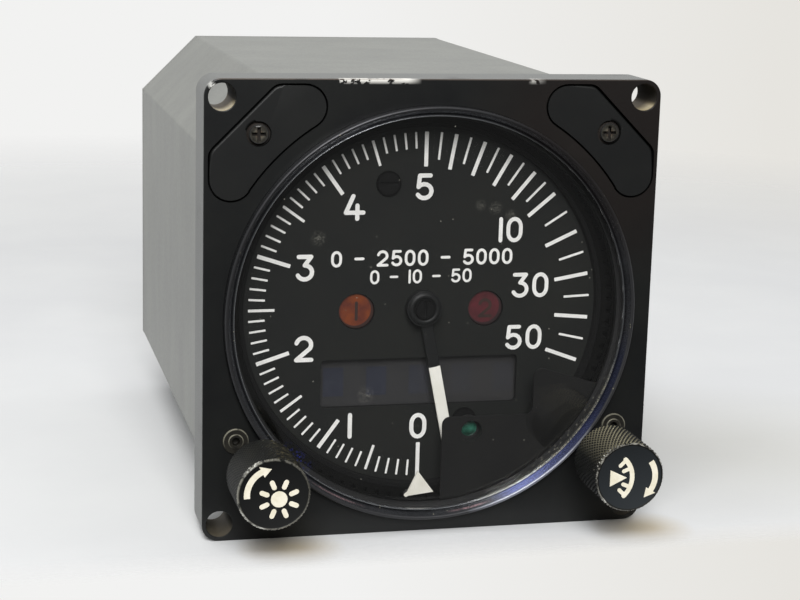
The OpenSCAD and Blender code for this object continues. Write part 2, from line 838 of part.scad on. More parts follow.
// Slots that take the circuit boards' tabs
module board_slots(y0, y1)
    for (side = [-1, 1], x = [-tab_x, tab_x])
        block([x - tab_w / 2 - seat_gap, y0, side * board_z - board_t / 2 - seat_gap],
            [x + tab_w / 2 + seat_gap, y1, side * board_z + board_t / 2 + seat_gap]);

module mid_plate()
    color("#a9abad")
        difference() {
            slab(mid_y0, mid_y1)
                chassis_outline();
            bar(pointer_bush_r + run_gap / 2, mid_y0 - 1, mid_y1 + 1, dial_c);
            bar(idler_bush_r + run_gap / 2, mid_y0 - 1, mid_y1 + 1, idler_c);
            bar(motor_boss_r + run_gap, mid_y0 - 1, mid_y1 + 1, motor_c);
            bar(pot_boss_r + run_gap, mid_y0 - 1, mid_y1 + 1, pot_c);
            at_corners(post_x, post_z)
                bar(spigot_r + run_gap / 2, mid_y0 - 1, mid_y1 + 1);
            board_slots(mid_y0 - 1, mid_y1 + 1);
        }

module rear_plate()
    color("#a9abad")
        difference() {
            slab(rear_y0, rear_y1)
                chassis_outline();
            bar(connector_tail_r + 2 * seat_gap, rear_y0 - 1, rear_y1 + 1, [0, connector_z]);
            translate([0, 0, connector_z])
                at_corners(connector_screw_pitch / 2, connector_screw_pitch / 2)
                    bar(connector_screw_r + run_gap, rear_y0 - 1, rear_y1 + 1);
            at_corners(rear_screw_x, rear_screw_z)
                bar(screw_r + run_gap, rear_y0 - 1, rear_y1 + 1);
            at_corners(post_x, post_z)
                bar(spigot_r + run_gap / 2, rear_y0 - 1, rear_y1 + 1);
            board_slots(rear_y0 - 1, rear_y1 + 1);
        }

// Posts with a spigot at each end, four in front of the middle plate and four behind it
module chassis_posts()
    color("#8f9193")
        at_corners(post_x, post_z) {
            bar(spigot_r, 0.4, plate_t);
            bar(post_r, plate_t, mid_y0);
            bar(spigot_r, mid_y0, mid_y0 + 1.4);
            bar(spigot_r, mid_y0 + 1.6, mid_y1);
            bar(post_r, mid_y1, rear_y0);
            bar(spigot_r, rear_y0, rear_y1 - 0.4);
        }

// Screws that hold the chassis to the flange
module chassis_screws()
    color("#77787a")
        at_corners(chassis_screw_x, chassis_screw_z)
            difference() {
                union() {
                    bar(2.2, plate_t, plate_t + 1.4);
                    bar(screw_r, -3.4, plate_t);
                }
                cross_recess(plate_t + 0.7, 0.8, 2.4);
            }

// A round lens of a status lamp, a little below the dial's face
module lamp_lens(x)
    bar(lamp_r, dial_y0 + lamp_recess, -0.2, [x, lamp_z]);

module lamp_amber()
    color("#8c3c19")
        lamp_lens(-lamp_x);

module lamp_red()
    color("#3a1413")
        lamp_lens(lamp_x);

// The status lamps' bulbs, each with a flange that seats on the front plate
module lamp_bulbs()
    color("#cfc6a8")
        for (x = [-lamp_x, lamp_x])
            let (c = [x, lamp_z]) {
                bar(1.7, 0.2, 0.8, c);
                bar(lamp_bulb_r, 0.8, plate_t, c);
                bar(3.4, plate_t, plate_t + 1, c);
                bar(lamp_bulb_r, plate_t + 1, plate_t + 6, c);
            }

module display_window()
    color("#1b2028", 0.8)
        block([-display_w / 2 - display_lap, dial_y1, display_z - display_h / 2 - 0.8],
            [display_w / 2 + display_lap, dial_y1 + display_glass_t, display_z + display_h / 2 + 0.8]);

module display_module()
    color("#23252b")
        block([-module_w / 2, module_y0, display_z - module_h / 2],
            [module_w / 2, board_y0, display_z + module_h / 2]);

module display_board()
    color("#2f5a3c")
        block([-display_board_w / 2, board_y0, display_z - display_board_h / 2],
            [display_board_w / 2, board_y0 + board_t, display_z + display_board_h / 2]);

// A knob with a blind bore for its shaft
module knob(x)
    turned([[0, knob_y0], [knob_r - knob_chamfer, knob_y0], [knob_r, knob_y0 + knob_chamfer],
        [knob_r, knob_y1], [knob_shaft_r + run_gap / 2, knob_y1],
        [knob_shaft_r + run_gap / 2, shaft_y0 - seat_gap], [0, shaft_y0 - seat_gap]], [x, knob_z]);

module brt_knob()
    color("#232325")
        knob(-knob_x);

module set_knob()
    color("#232325")
        knob(knob_x);

module brt_shaft()
    color("#9a9a98") {
        bar(knob_shaft_r, shaft_y0, bushing_y1 + 0.5, [-knob_x, knob_z]);
        bar(journal_r, bushing_y1 + 0.5, plate_t, [-knob_x, knob_z]);
        bar(tail_r, plate_t, plate_t + 8, [-knob_x, knob_z]);
    }

module brt_pot()
    color("#30415f")
        difference() {
            bar(4.7, plate_t, plate_t + 11, [-knob_x, knob_z]);
            bar(tail_r + run_gap, plate_t - 1, plate_t + 8.5, [-knob_x, knob_z]);
        }

// The set shaft with its pinion cut on it, a journal, and a grooved tail
module set_shaft()
    color("#9a9a98")
        difference() {
            union() {
                bar(knob_shaft_r, shaft_y0, pinion_y0, [knob_x, knob_z]);
                gear(pinion_teeth, ring_module, pinion_y0, pinion_y1, [knob_x, knob_z], pinion_phase);
                bar(journal_r, pinion_y1, journal_y1, [knob_x, knob_z]);
                bar(tail_r, journal_y1, tail_y1, [knob_x, knob_z]);
            }
            ring(tail_r + 1, tail_r - 0.3, clip_y0, clip_y0 + clip_t, [knob_x, knob_z]);
        }

// The clip in the tail's groove, which keeps the plunger on the shaft
module set_clip()
    color("#77787a")
        ring(2.2, tail_r - 0.27, clip_y0 + 0.03, clip_y0 + clip_t - 0.03, [knob_x, knob_z]);

module knob_bushings()
    color("#5d5a55")
        for (x = [-knob_x, knob_x])
            ring(bushing_r, knob_shaft_r + run_gap, bushing_y0, bushing_y1, [x, knob_z]);

// The plunger slides in its housing and doesn't turn, because of its tongue
module set_plunger()
    color("#b08a3e")
        difference() {
            union() {
                bar(plunger_r, plunger_y0, plunger_y0 + plunger_t, [knob_x, knob_z]);
                block([knob_x - 0.5, plunger_y0, knob_z + plunger_r - 1],
                    [knob_x + 0.5, plunger_y0 + plunger_t, knob_z + housing_r - 0.2]);
            }
            bar(tail_r + run_gap, plunger_y0 - 1, plunger_y0 + plunger_t + 1, [knob_x, knob_z]);
        }

// The housing that guides the plunger and holds its spring
module set_housing()
    color("#8f9193")
        difference() {
            bar(housing_r, plate_t, housing_y1, [knob_x, knob_z]);
            bar(plunger_r + run_gap, plate_t - 1, spring_end_y, [knob_x, knob_z]);
            bar(button_r + seat_gap, spring_end_y - 1, housing_y1 + 1, [knob_x, knob_z]);
            block([knob_x - 0.55, plate_t - 1, knob_z + plunger_r - 1],
                [knob_x + 0.55, plunger_y0 + plunger_t + push_travel + air_gap, knob_z + housing_r + 1]);
        }

// The plunger's return spring: one round wire wound in turns along Y
spring_turns = 5;
spring_wire_r = 0.22;
spring_coil_r = plunger_r - 0.6;
spring_y0 = plunger_y0 + plunger_t + spring_wire_r;
spring_y1 = spring_end_y - spring_wire_r;
spring_steps = 14;
spring_sides = 6;
function spring_point(i, k) =
    let (
        turn = i / spring_steps,
        r = spring_coil_r + spring_wire_r * cos(360 * k / spring_sides),
        y = spring_y0 + (spring_y1 - spring_y0) * turn / spring_turns
            + spring_wire_r * sin(360 * k / spring_sides)
    )
    [knob_x + r * cos(360 * turn), y, knob_z + r * sin(360 * turn)];

module set_spring()
    let (rings = spring_turns * spring_steps, n = spring_sides)
    color("#b9babb")
        polyhedron(
            points = [for (i = [0 : rings], k = [0 : n - 1]) spring_point(i, k)],
            faces = concat(
                [for (k = [1 : n - 2]) [0, k, k + 1]],
                [for (k = [1 : n - 2]) [rings * n, rings * n + k + 1, rings * n + k]],
                [for (i = [0 : rings - 1], k = [0 : n - 1])
                    [i * n + k, (i + 1) * n + k, i * n + (k + 1) % n]],
                [for (i = [0 : rings - 1], k = [0 : n - 1])
                    [i * n + (k + 1) % n, (i + 1) * n + k, (i + 1) * n + (k + 1) % n]]
            )
        );

// The test switch behind the housing, with its button through the end wall
module test_switch()
    color("#3b3b3d") {
        block([knob_x - switch_w / 2, housing_y1, knob_z - switch_w / 2],
            [knob_x + switch_w / 2, switch_y1, knob_z + switch_w / 2]);
        bar(button_r, tail_y1 + push_travel + seat_gap, housing_y1, [knob_x, knob_z]);
    }

// Two boards whose end tabs sit in the middle and rear plates
module circuit_boards()
    color("#2f5a3c")
        for (side = [-1, 1]) {
            block([-board_half_w, mid_y1, side * board_z - board_t / 2],
                [board_half_w, rear_y0, side * board_z + board_t / 2]);
            for (x = [-tab_x, tab_x], y = [mid_y1 - tab_len, rear_y0])
                block([x - tab_w / 2, y, side * board_z - board_t / 2],
                    [x + tab_w / 2, y + tab_len, side * board_z + board_t / 2]);
        }

// Chips and capacitors that stand on the boards' inner faces
module board_parts()
    color("#26262a")
        for (side = [-1, 1])
            translate([0, mid_y1, side * (board_z - board_t / 2)])
                mirror([0, 0, side < 0 ? 1 : 0]) {
                    for (row = [0 : 2], x = [-9, 3])
                        translate([x, 5 + chip_pitch * row, -chip_size[2]])
                            cube(chip_size);
                    for (x = [-13, 14])
                        for (row = [0 : 1])
                            translate([x, 8 + 14 * row, -can_h])
                                cylinder(r = can_r, h = can_h);
                    translate([-14, 34, -coil_size[2]])
                        cube(coil_size);
                }

// The power supply on the rear plate: a laminated core and its winding
module power_module()
    color("#5b5148") {
        block([-15, rear_y0 - 15, 6], [15, rear_y0, 24]);
        block([-9, rear_y0 - 19, 9], [9, rear_y0 - 15, 21]);
    }

// A flat ribbon from the connector to the lower board
module wire_ribbon()
    color("#c9c2b4") {
        block([-5, connector_y0 - 9, connector_z - 1], [5, connector_y0, connector_z]);
        block([-5, connector_y0 - 9, board_t / 2 - board_z], [5, connector_y0 - 8, connector_z]);
    }

module case()
    color("#8b8d8c")
        slab(case_y0, case_y1)
            difference() {
                octagon(case_w, case_chamfer);
                octagon(inner_w, inner_chamfer);
            }

module case_gasket()
    color("#111112")
        slab(0, gasket_case_t)
            difference() {
                octagon(case_w - 0.4, case_chamfer);
                octagon(inner_w, inner_chamfer);
            }

module rear_cover()
    color("#3f4041")
        difference() {
            hull() {
                slab(case_y1, case_y1 + rear_cover_t - rear_bevel)
                    octagon(case_w, case_chamfer);
                slab(case_y1, case_y1 + rear_cover_t)
                    octagon(case_w - 2 * rear_bevel, case_chamfer - rear_bevel * (2 - sqrt(2)));
            }
            bar(connector_tail_r + seat_gap, case_y1 - 1, connector_flange_y0 + 1, [0, connector_z]);
            translate([0, 0, connector_z])
                at_corners(connector_screw_pitch / 2, connector_screw_pitch / 2)
                    bar(connector_screw_r + run_gap, case_y1 - 1, connector_flange_y0 + 1);
            at_corners(rear_screw_x, rear_screw_z)
                bar(screw_r + run_gap, case_y1 - 1, connector_flange_y0 + 1);
        }

module rear_screws()
    color("#77787a")
        at_corners(rear_screw_x, rear_screw_z)
            difference() {
                union() {
                    bar(2.6, connector_flange_y0, connector_flange_y0 + 1.6);
                    bar(screw_r, rear_y0 + 0.5, connector_flange_y0);
                }
                cross_recess(connector_flange_y0 + 0.9, 0.8, 2.8);
            }

// The connector's shell: a square flange, a barrel and three locking studs
module rear_connector()
    color("#8a8c88")
        difference() {
            union() {
                slab(connector_flange_y0, connector_flange_y1)
                    translate([0, connector_z])
                        rounded_square(connector_flange_w, connector_flange_w, 2);
                bar(connector_r, connector_flange_y1, connector_y1, [0, connector_z]);
                bar(connector_tail_r, connector_y0, connector_flange_y0, [0, connector_z]);
                for (a = [90, 210, 330])
                    translate([0, connector_y1 - 4, connector_z])
                        rotate([0, a, 0])
                            translate([connector_r - 1, 0, 0])
                                rotate([0, 90, 0])
                                    cylinder(r = 1, h = 2);
            }
            bar(connector_in_r, insert_y1, connector_y1 + 1, [0, connector_z]);
            bar(connector_seat_r, connector_y0 - 1, insert_y1 + 1, [0, connector_z]);
            translate([0, 0, connector_z])
                at_corners(connector_screw_pitch / 2, connector_screw_pitch / 2)
                    bar(connector_screw_r + run_gap, connector_flange_y0 - 1, connector_flange_y1 + 1);
        }

// The insulator with its contact sockets
module connector_insert()
    color("#5d2a20")
        difference() {
            bar(connector_seat_r - run_gap, connector_y0, insert_y1, [0, connector_z]);
            bar(contact_r, insert_y1 - contact_depth, insert_y1 + 1, [0, connector_z]);
            for (contacts = contact_rings, i = [0 : contacts[0] - 1])
                bar(contact_r, insert_y1 - contact_depth, insert_y1 + 1,
                    [0, connector_z] + polar(contacts[1], 360 * i / contacts[0]));
        }

module connector_screws()
    color("#77787a")
        translate([0, 0, connector_z])
            at_corners(connector_screw_pitch / 2, connector_screw_pitch / 2)
                difference() {
                    union() {
                        bar(1.9, connector_flange_y1, connector_flange_y1 + 1.3);
                        bar(connector_screw_r, rear_y0 + 0.5, connector_flange_y1);
                    }
                    cross_recess(connector_flange_y1 + 0.6, 0.8, 2.2);
                }

bezel();
bezel_ring();
window_glass();
window_gasket();
window_mask();
mask_lens();
cover_left();
cover_right();
cover_screws();
bushing_screws();
edge_lamps();
bug_ring();
bug();
dial_carrier();
dial();
dial_screws();
pointer();
pointer_screw();
pointer_shaft();
shaft_bearings();
pointer_gear();
idler_pinion();
idler_gear();
motor_pinion();
servo_motor();
feedback_pot();
pot_gear();
front_plate();
mid_plate();
rear_plate();
chassis_posts();
chassis_screws();
lamp_amber();
lamp_red();
lamp_bulbs();
display_window();
display_module();
display_board();
brt_knob();
brt_shaft();
brt_pot();
set_knob();
set_shaft();
set_clip();
knob_bushings();
set_plunger();
set_spring();
set_housing();
test_switch();
circuit_boards();
board_parts();
power_module();
wire_ribbon();
case();
case_gasket();
rear_cover();
rear_screws();
rear_connector();
connector_insert();
connector_screws();
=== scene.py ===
# Looks of the radar altimeter indicator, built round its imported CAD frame.
# Shapes are drawn in millimetres in the CAD's own frame: X right, Z up, the front faces -Y.
import json
import math

import bmesh
import bpy
from mathutils import Matrix, Vector


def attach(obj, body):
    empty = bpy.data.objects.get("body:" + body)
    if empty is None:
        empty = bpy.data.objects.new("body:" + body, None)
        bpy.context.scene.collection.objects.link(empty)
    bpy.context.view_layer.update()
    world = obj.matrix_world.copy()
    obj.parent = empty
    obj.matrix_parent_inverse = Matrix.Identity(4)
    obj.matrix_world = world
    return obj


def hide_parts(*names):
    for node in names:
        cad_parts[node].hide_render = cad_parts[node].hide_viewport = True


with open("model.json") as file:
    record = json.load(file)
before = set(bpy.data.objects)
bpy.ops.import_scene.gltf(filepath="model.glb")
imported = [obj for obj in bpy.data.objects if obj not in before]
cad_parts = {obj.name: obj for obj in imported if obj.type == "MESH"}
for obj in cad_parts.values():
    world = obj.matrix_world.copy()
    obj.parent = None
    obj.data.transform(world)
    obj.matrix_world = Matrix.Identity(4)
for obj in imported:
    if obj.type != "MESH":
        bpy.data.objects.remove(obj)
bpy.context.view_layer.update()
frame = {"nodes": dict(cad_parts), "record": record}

MM = 0.001
TURN = 2 * math.pi

FLANGE_HALF, FLANGE_FRONT = 41.25, -10.0
# Axes as X, Y and Z in mm, where None stands for any depth. Panel holes, screws and knobs have
# mirrored twins, so theirs are absolute values, for masks that fold the front in X and Z
PANEL_HOLE = (38.1, None, 38.1)
COVER_SCREW = (31.75, None, 31.75)
CLAMP_SCREW = (35.3, None, 22.8)
KNOB = (31.75, None, 26.743)
DIAL_AXIS = (0, None, -1)
LENS_AXIS = (8.6, None, -23.3)
DIAL_SCREWS = ((-6.82, 21.8), (8.65, -22.65))
LAMP_X = 12.15


# The view and the lights

def placed(item, place, turn):
    """Puts a camera or lamp in the scene at a place in metres, turned by a quaternion"""
    obj = bpy.data.objects.new(item.name, item)
    bpy.context.scene.collection.objects.link(obj)
    obj.location = place
    obj.rotation_mode = "QUATERNION"
    obj.rotation_quaternion = turn
    return obj


# The photograph's view: the picture's right, up and back directions, with a little roll in them
PICTURE_AXES = ((0.97145284, -0.23574053, 0.02656663), (0.02438596, 0.21062309, 0.97726314),
                (-0.23597608, -0.94871719, 0.21035916))
lens = bpy.data.cameras.new("photo_view")
lens.sensor_width = 36
lens.lens = 85.06
lens.clip_start = 0.01
bpy.context.scene.camera = placed(lens, (-0.08536, -0.32881, 0.07272),
                                  Matrix(PICTURE_AXES).transposed().to_quaternion())


def soft_box(name, place, size, watts):
    """A square soft light that points at the object"""
    lamp = bpy.data.lights.new(name, "AREA")
    lamp.shape = "SQUARE"
    lamp.size = size
    lamp.energy = watts
    placed(lamp, place, (-Vector(place)).to_track_quat("-Z", "Y"))


# A high soft box gives the knobs their short shadows; a broad one over the camera reaches the
# dial through the window
soft_box("high_box", (-0.30, -0.46, 0.84), 0.34, 3.5)
soft_box("broad_box", (-0.18, -1.05, 0.70), 0.5, 16.5)


# Materials

def linear(hex_colour):
    """An sRGB hex value such as #1f2022 as a linear colour"""
    parts = [int(hex_colour[i:i + 2], 16) / 255 for i in (1, 3, 5)]
    return [p / 12.92 if p <= 0.04045 else ((p + 0.055) / 1.055) ** 2.4 for p in parts] + [1]


def add(tree, kind, *values, at=None, out=0, **settings):
    """Adds a shader node of a kind with its settings and gives one of its outputs. The values fill
    its sockets in order and those in at by name or number; each is a number, colour or output."""
    node = tree.nodes.new("ShaderNode" + kind)
    for name, value in settings.items():
        setattr(node, name, value)
    for socket, value in [*enumerate(values), *(at or {}).items()]:
        if isinstance(value, bpy.types.NodeSocket):
            tree.links.new(value, node.inputs[socket])
        else:
            node.inputs[socket].default_value = value
    return node.outputs[out] if node.outputs else node


class Finish:
    """A material whose colour drifts between two shades, with fine grain in its gloss and relief.
    drift and grain are the sizes in mm of its patches and grain, and stretch draws them out."""

    def __init__(self, name, dark, light, drift=8.0, grain=0.4, rough=(0.4, 0.55), relief=0.01,
                 metallic=0.0, ior=1.5, stretch=(1, 1, 1)):
        self.material = bpy.data.materials.new(name)
        self.material.use_nodes = True
        self.tree = self.material.node_tree
        self.tree.nodes.clear()
        self.coords = self.add("TexCoord", out="Object")
        drawn = self.add("Mapping", self.coords, at={"Scale": [1 / s for s in stretch]})
        patches = self.add("TexNoise", drawn, at={"Scale": 1 / (drift * MM), "Detail": 4,
                                                  "Roughness": 0.6})
        fine = self.add("TexNoise", drawn, at={"Scale": 1 / (grain * MM), "Detail": 2})
        drift_share = self.add("MapRange", patches, 0.35, 0.65)
        self.colour = self.add("Mix", at={0: drift_share, 6: linear(dark), 7: linear(light)},
                               out=2, data_type="RGBA")
        self.rough = self.add("MapRange", fine, 0.3, 0.7, *rough)
        bump = self.add("Bump", at={"Height": fine, "Distance": relief * MM})
        self.shader = self.add("BsdfPrincipled", at={
            "Base Color": self.colour, "Roughness": self.rough, "Normal": bump,
            "Metallic": metallic, "IOR": ior}).node
        self.output = self.add("OutputMaterial", self.shader.outputs[0])

    def add(self, kind, *values, **more):
        return add(self.tree, kind, *values, **more)

    def lay(self, colour, *masks, rough=None, metallic=None, share=1.0):
        """Lays another finish over this one where every mask is 1, at a share of its strength.
        metallic is the mark's own, on a finish that has none."""
        mask = masks[0]
        for other in masks[1:] + ((share,) if share < 1 else ()):
            mask = self.add("Math", mask, other, operation="MULTIPLY")
        self.colour = self.add("Mix", at={0: mask, 6: self.colour, 7: linear(colour)},
                               out=2, data_type="RGBA")
        self.tree.links.new(self.colour, self.shader.inputs["Base Color"])
        if rough is not None:
            self.rough = self.add("Mix", at={0: mask, 2: self.rough, 3: rough})
            self.tree.links.new(self.rough, self.shader.inputs["Roughness"])
        if metallic is not None:
            bare = self.add("Math", mask, metallic, operation="MULTIPLY")
            self.tree.links.new(bare, self.shader.inputs["Metallic"])

    # Masks: each is 1 where its mark lies and 0 elsewhere, and takes sizes and places in mm

    def past(self, axis, start, full):
        """Rises from 0 at start to 1 at full along X, Y or Z"""
        along = self.add("SeparateXYZ", self.coords, out=axis)
        return self.add("MapRange", along, start * MM, full * MM)

    def around(self, x, y, z, full, end, folded=False):
        """1 within the distance full of a point and 0 past end; or, if full is the larger one, 1
        past full and 0 within end. A coordinate that is None doesn't count, and folded takes the
        four places mirrored in X and Z together."""
        place = self.coords
        if folded:
            place = self.add("VectorMath", place, operation="ABSOLUTE")
        counts = [p is not None for p in (x, y, z)]
        place = self.add("VectorMath", place, counts, operation="MULTIPLY")
        away = self.add("VectorMath", place, [(p or 0) * MM for p in (x, y, z)],
                        operation="DISTANCE", out=1)
        return self.add("MapRange", away, end * MM, full * MM)

    def blotches(self, size, start, full, seed=0.0):
        """Ragged patches of a size; start and full set how much they cover, between 0 and 1"""
        moved = self.add("Mapping", self.coords, at={"Location": (seed, seed, seed)})
        noise = self.add("TexNoise", moved, at={"Scale": 1 / (size * MM), "Detail": 5})
        return self.add("MapRange", noise, start, full)

    def specks(self, cell, size, share, seed=0.0):
        """Scattered dots of a size, in a share of cells"""
        moved = self.add("Mapping", self.coords, at={"Location": (seed, seed, seed)})
        dots = self.add("TexVoronoi", moved, at={"Scale": 1 / (cell * MM)})
        pick = self.add("SeparateColor", dots.node.outputs["Color"])
        dot = self.add("MapRange", dots, size / cell, size / cell / 2)
        return self.add("Math", dot, self.add("Math", pick, share, operation="LESS_THAN"),
                        operation="MULTIPLY")


# Satin black enamel over milled aluminium: near black face on, and a soft sheen at a glance
black_enamel = Finish("satin_black_enamel", "#0d0e0f", "#151615", drift=14, grain=0.25,
                      rough=(0.34, 0.44), relief=0.006, ior=1.4)
# Painted sheen: the flange's top and sides, and round its corners, are laid greyer in patches, as
# they catch the light at a glance
SHEEN_GREY = "#5a5b59"
behind_front = black_enamel.past("Y", -9.76, -9.7)
for axis, start, full in (("X", -41.1, -41.2), ("X", 41.1, 41.2), ("Z", 41.1, 41.2)):
    black_enamel.lay(SHEEN_GREY, black_enamel.past(axis, start, full), behind_front,
                     black_enamel.blotches(9, 0.2, 0.4, 0.8))
corner_centre = (38.25, None, 38.25)
black_enamel.lay(SHEEN_GREY, black_enamel.around(*corner_centre, 2.9, 2.85, folded=True),
                 black_enamel.around(*corner_centre, 3.05, 3.1, folded=True), behind_front)
# The paint has come off in ragged chips along the flange's top edge and at one corner
near_front = black_enamel.past("Y", -8.8, -9.2)
for low, high in ((-18.3, -3.2), (16.2, 19.6)):
    black_enamel.lay("#e9e7e0", near_front, black_enamel.past("X", low, low + 0.8),
                     black_enamel.past("X", high, high - 2.5), black_enamel.past("Z", 40.3, 41.0),
                     black_enamel.blotches(1.2, 0.42, 0.46, 0.3), rough=0.5)
black_enamel.lay("#c9c9c4", near_front, black_enamel.around(-39.9, None, 40.1, 0.3, 0.8),
                 black_enamel.blotches(0.6, 0.42, 0.5, 0.7), rough=0.45)
# A thin brown line where the paint is worn along the top edge
on_front = black_enamel.past("Y", -9.6, -9.75)
black_enamel.lay("#5f5248", on_front, black_enamel.past("Z", 41.02, 41.1),
                 black_enamel.blotches(9, 0.3, 0.45, 0.2), rough=0.6, share=0.5)
# Painted light in the panel holes: their walls are laid dark as painted shade, with a gilt painted
# highlight low on the walls of the upper two, palest in the upper left one, painted brown shade
# deeper in them, and a grey painted highlight low on the walls of the lower two
hole_wall = black_enamel.around(*PANEL_HOLE, 2.50, 2.54, folded=True)
past_mouth = black_enamel.past("Y", -9.9, -9.6)
in_upper = black_enamel.past("Z", 30, 32)
black_enamel.lay("#0c0c0b", hole_wall, past_mouth, rough=0.95)
black_enamel.lay("#b8ab8a", hole_wall, past_mouth, in_upper, black_enamel.past("Z", 37.6, 36.6),
                 rough=0.4)
black_enamel.lay("#4e3f2b", hole_wall, black_enamel.past("Y", -8.0, -5.0), in_upper,
                 black_enamel.past("Z", 38.2, 36.8), rough=0.6, share=0.85)
black_enamel.lay("#2c2822", black_enamel.around(*PANEL_HOLE, 2.50, 2.54), past_mouth,
                 black_enamel.past("Z", 36.4, 37.2), rough=0.95, share=0.9)
black_enamel.lay("#6b6353", hole_wall, past_mouth, black_enamel.past("Z", -38.2, -39.4),
                 rough=0.5, share=0.6)
# The front is a little browner round its upper right corner
black_enamel.lay("#1b1512", on_front, black_enamel.around(31, None, 30, 14, 28), share=0.6)

# The same enamel on the cover plates, a little more matt
cover_enamel = Finish("matt_cover_enamel", "#0c0d0d", "#121312", drift=12, grain=0.25,
                      rough=(0.44, 0.54), relief=0.006, ior=1.38)

# Satin enamel on drawn sheet, laid mid grey as a painted sheen for the light it catches at a
# glance: faintly mottled, with a few dark specks
case_enamel = Finish("satin_case_enamel", "#63645f", "#6f706a", drift=9, grain=0.3,
                     rough=(0.38, 0.46), relief=0.004, ior=1.68, stretch=(1.5, 0.9, 3))
case_enamel.lay("#7a7a75", case_enamel.blotches(18, 0.2, 0.9), share=0.4)
case_enamel.lay("#1c1c1c", case_enamel.specks(7, 0.35, 0.12))

# Anodised aluminium turned on a lathe: dark grey, with a painted blue and violet sheen low on the
# right and a blue spot low on the left, painted pink highlights in the grooves between them, and a
# brown cast high on the right
ring_anodise = Finish("turned_anodised_aluminium", "#3f4043", "#4b4c4f", drift=5, grain=0.15,
                      rough=(0.2, 0.32), relief=0.003, metallic=0.85)
on_crest = ring_anodise.past("Y", -11.72, -11.85)
on_slope = ring_anodise.past("Y", -11.05, -11.15)
below_crest = ring_anodise.past("Y", -11.5, -11.35)
# Painted sheen: the first two are the blue and violet cast low on the right; the last is a blue
# spot low on the left
for x, z, full, end, tint in ((31, -15, 6, 12, "#363a50"), (23, -28, 9, 14, "#474d70"),
                              (-25.2, -28, 1.2, 4, "#2b2f5c")):
    ring_anodise.lay(tint, ring_anodise.around(x, None, z, full, end), share=0.9)
ring_anodise.lay("#434345", on_crest, rough=0.42)
# Painted highlight: the inner lip is laid pale grey all round
ring_anodise.lay("#7f8184", ring_anodise.around(*DIAL_AXIS, 36.1, 36.16), rough=0.2)
# Painted highlight: pale on the crest low on the right
ring_anodise.lay("#b4b7c4", ring_anodise.around(19, None, -30, 7, 14), on_crest, rough=0.3,
                 share=0.8)
# Painted highlights: pink streaks in the slope's grooves
for x, z, full, end in ((7.7, -37.0, 0.8, 4.5), (-17.5, -33.3, 1.5, 6.5)):
    ring_anodise.lay("#a3868a", ring_anodise.around(x, None, z, full, end), on_slope, below_crest,
                     ring_anodise.blotches(1.2, 0.3, 0.5, 0.3), share=0.8)
ring_anodise.lay("#2b2523", ring_anodise.around(26, None, 25, 10, 20), share=0.6)
ring_anodise.lay("#b9b39a", ring_anodise.specks(0.9, 0.14, 0.08), rough=0.7, share=0.6)
# Dust has settled on the lip low on the right
ring_anodise.lay("#8e8a7a", ring_anodise.around(24, None, -26, 14, 20),
                 ring_anodise.around(*DIAL_AXIS, 36.0, 36.06),
                 ring_anodise.blotches(0.25, 0.48, 0.56, 0.5), rough=0.8)

# Synthetic rubber, moulded: dull black
black_rubber = Finish("moulded_rubber", "#0f0f10", "#171717", grain=0.2, rough=(0.7, 0.85))

# Matt black lacquer sprayed on the dial: even and faintly green, with specks of dust
dial_black = Finish("matt_dial_lacquer", "#121413", "#181916", drift=16, grain=0.12,
                    rough=(0.55, 0.7), relief=0.003, ior=1.33)
dial_black.lay("#8d8c83", dial_black.specks(4.0, 0.15, 0.3), rough=0.8)
dial_black.lay("#55544d", dial_black.specks(6.0, 0.25, 0.12, 0.4), rough=0.8)
# Painted shade: the walls of its openings, behind the face, are laid near black and matt
dial_black.lay("#060606", dial_black.past("Y", -2.28, -2.2), rough=0.95)

# Painted shade: near black and matt on the ring gear and on a sleeve in the bore round the dial,
# so the gap there stays dark
gear_black_and_shade = Finish("matt_gear_black_and_painted_shade", "#060606", "#0a0a09", grain=0.12, rough=(0.85, 0.95),
                      relief=0.003, ior=1.15)

# Matt black paint on thin sheet, a shade smoother than the dial's
mask_black = Finish("matt_mask_paint", "#121212", "#181817", drift=10, grain=0.15,
                    rough=(0.5, 0.6), relief=0.003, ior=1.3)
# Painted shade: the dial's carrier has the same paint, laid near black and more matt, so its gap
# stays dark
mask_black.lay("#070707", mask_black.past("Y", -6, -5.5), rough=0.95)

# White screen ink: flat and slightly warm
marking_white = Finish("white_screen_ink", "#eae9e5", "#f7f6f2", drift=2.5, grain=0.12,
                       rough=(0.5, 0.62), relief=0.006)

# Ivory enamel filled into the knobs' engraving: warmer than the dial's white
knob_ivory = Finish("ivory_fill_enamel", "#e6dfc8", "#f3eddb", drift=1.2, grain=0.12,
                    rough=(0.4, 0.55))

# Lacquer on the pointer: white beyond the dial's middle part, black on the hub and the root
pointer_lacquer = Finish("two_tone_lacquer", "#eceadf", "#f5f3ea", drift=3, grain=0.12,
                         rough=(0.42, 0.55), relief=0.004, ior=1.35)
pointer_lacquer.lay("#141515", pointer_lacquer.around(*DIAL_AXIS, 11.25, 11.31), rough=0.5)

# White enamel on the limit bug, bare dull steel on its foot
bug_enamel = Finish("white_bug_enamel", "#e4e1d4", "#f0ede2", drift=2.5, grain=0.12,
                    rough=(0.45, 0.6), relief=0.006)
bug_enamel.lay("#3c3c3b", bug_enamel.past("Y", -5.32, -5.28), rough=0.45)

# Moulded lenses, unlit: dull dyed plastic
lens_amber = Finish("dyed_lens_amber", "#58291f", "#7a3b1a", drift=2.6, grain=0.2,
                    rough=(0.3, 0.42), relief=0.004)
lens_red = Finish("dyed_lens_red", "#431f22", "#592329", drift=2.5, grain=0.2, rough=(0.3, 0.42),
                  relief=0.004)
